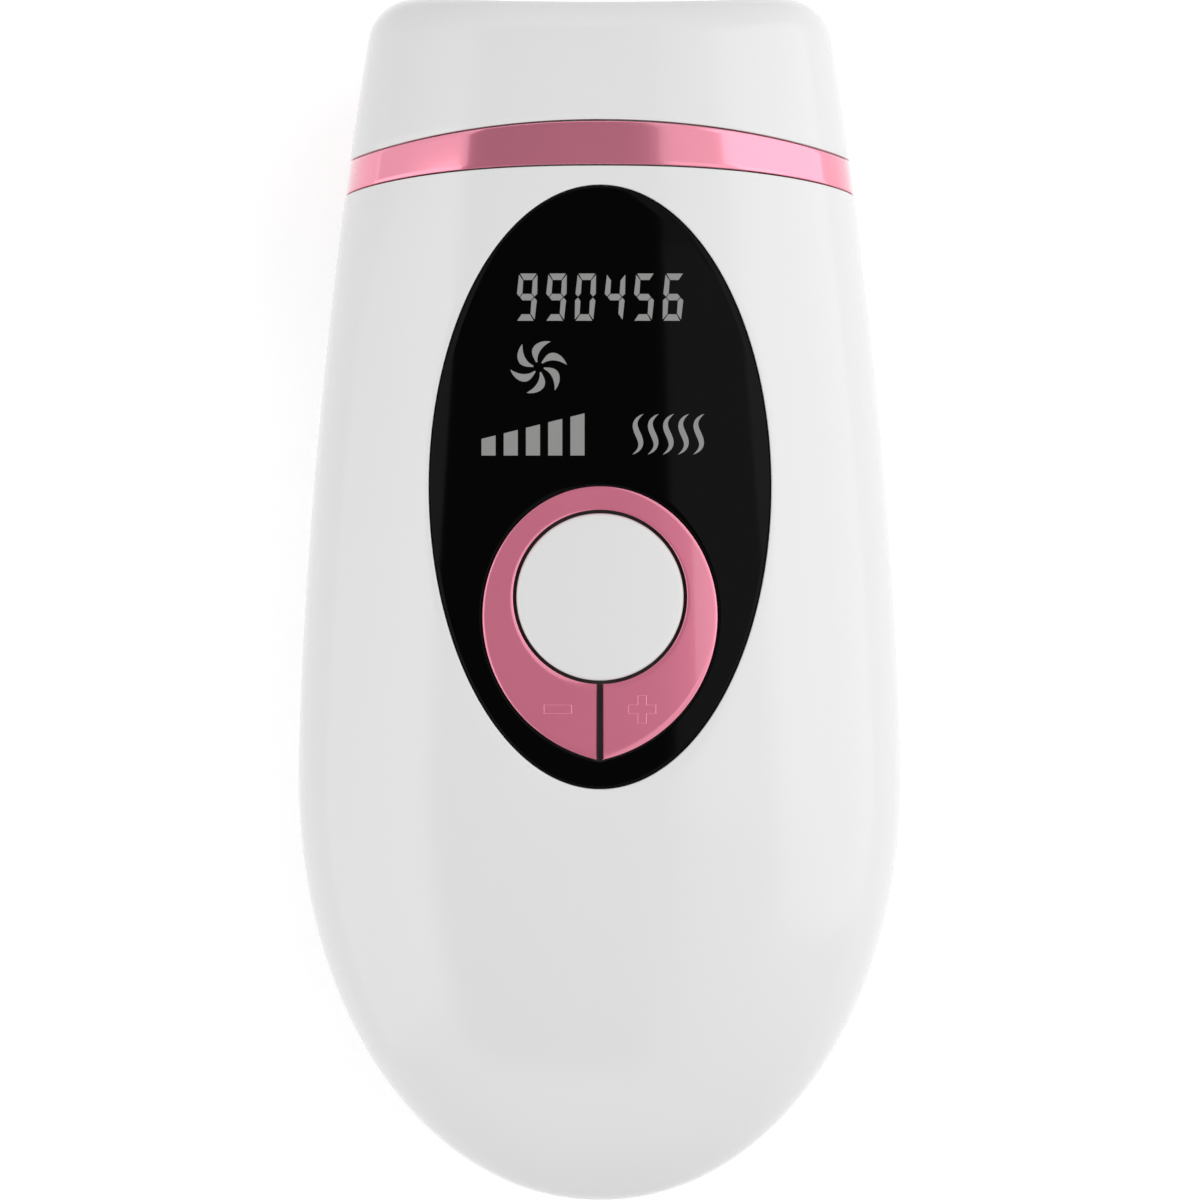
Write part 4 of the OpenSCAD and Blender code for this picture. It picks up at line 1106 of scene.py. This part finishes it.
def build_floor():
    """Pale floor that reads white to the camera and keeps the handset's shadow."""
    mat = bpy.data.materials.new("floor")
    mat.use_nodes = True
    nt = mat.node_tree
    bsdf = nt.nodes["Principled BSDF"]
    bsdf.inputs["Roughness"].default_value = 0.9
    bsdf.inputs["Specular IOR Level"].default_value = 0.1
    speck = nt.nodes.new("ShaderNodeTexNoise")
    speck.inputs["Scale"].default_value = 3.0
    tint = nt.nodes.new("ShaderNodeMix")
    tint.data_type = "RGBA"
    tint.inputs["A"].default_value = (0.86, 0.86, 0.86, 1)
    tint.inputs["B"].default_value = (0.88, 0.88, 0.88, 1)
    nt.links.new(speck.outputs["Fac"], tint.inputs["Factor"])
    nt.links.new(tint.outputs["Result"], bsdf.inputs["Base Color"])
    # The lights stand close to the handset, so the floor makes up for them further out
    place = nt.nodes.new("ShaderNodeNewGeometry")
    reach = nt.nodes.new("ShaderNodeVectorMath")
    reach.operation = "LENGTH"
    nt.links.new(place.outputs["Position"], reach.inputs[0])
    rise = nt.nodes.new("ShaderNodeMapRange")
    rise.inputs["From Min"].default_value = 0.3
    rise.inputs["From Max"].default_value = 1.3
    rise.inputs["To Min"].default_value = 0.38
    rise.inputs["To Max"].default_value = 0.8
    nt.links.new(reach.outputs["Value"], rise.inputs["Value"])
    lift = nt.nodes.new("ShaderNodeMath")
    lift.operation = "MULTIPLY"
    nt.links.new(background_share(nt), lift.inputs[0])
    nt.links.new(rise.outputs["Result"], lift.inputs[1])
    bsdf.inputs["Emission Color"].default_value = (1, 1, 1, 1)
    nt.links.new(lift.outputs["Value"], bsdf.inputs["Emission Strength"])
    flat_panel("floor", -3.0, 3.0, 3.0, 0, mat)


build_floor()


def area(name, place, size_x, size_y, power):
    """Soft light that faces the handset and that the camera doesn't see."""
    light = bpy.data.lights.new(name, "AREA")
    light.shape = "RECTANGLE"
    light.size, light.size_y = size_x, size_y
    light.energy = power
    obj = bpy.data.objects.new(name, light)
    bpy.context.scene.collection.objects.link(obj)
    obj.location = place
    obj.rotation_euler = (AIM - Vector(place)).to_track_quat("-Z", "Y").to_euler()
    obj.visible_camera = False


AIM = Vector((0, 0, 0.03))
area("softbox_right", (0.80, 0.18, 0.48), 1.3, 1.5, 7.0)
area("softbox_left", (-0.78, -0.22, 0.52), 1.0, 1.5, 4.2)
area("overhead_right", (0.22, 0.0, 1.0), 0.36, 1.4, 0.6)

# Dark card overhead that only gloss shows: the black lens and the middle of the pink band mirror it
card = flat_panel("dark_card", -0.325, 0.063, 0.7, 0.8, emission("dark_card", (0.02, 0.02, 0.02), 1.0))
card.visible_camera = False
card.visible_diffuse = False
card.visible_shadow = False
card.visible_transmission = False

world = bpy.data.worlds.new("studio")
bpy.context.scene.world = world
world.use_nodes = True
wt = world.node_tree
background = wt.nodes["Background"]
level = wt.nodes.new("ShaderNodeMapRange")
level.inputs["To Min"].default_value = 0.51
level.inputs["To Max"].default_value = 1.0
wt.links.new(background_share(wt), level.inputs["Value"])
background.inputs["Color"].default_value = (1, 1, 1, 1)
wt.links.new(level.outputs["Result"], background.inputs["Strength"])

scene = bpy.context.scene
scene.view_settings.view_transform = "Standard"

# ------------------------------------------------------------------ camera, straight over the display face

camera_data = bpy.data.cameras.new("camera")
camera = bpy.data.objects.new("camera", camera_data)
scene.collection.objects.link(camera)
scene.camera = camera
CAMERA_Z = 3.0
camera.location = (0, 0, CAMERA_Z)
camera.rotation_euler = (0, 0, 0)
camera_data.sensor_width = 36
camera_data.lens = 36 * (CAMERA_Z - PART_Z * MM) / (2 * HALF_L * MM)
camera_data.clip_end = 20
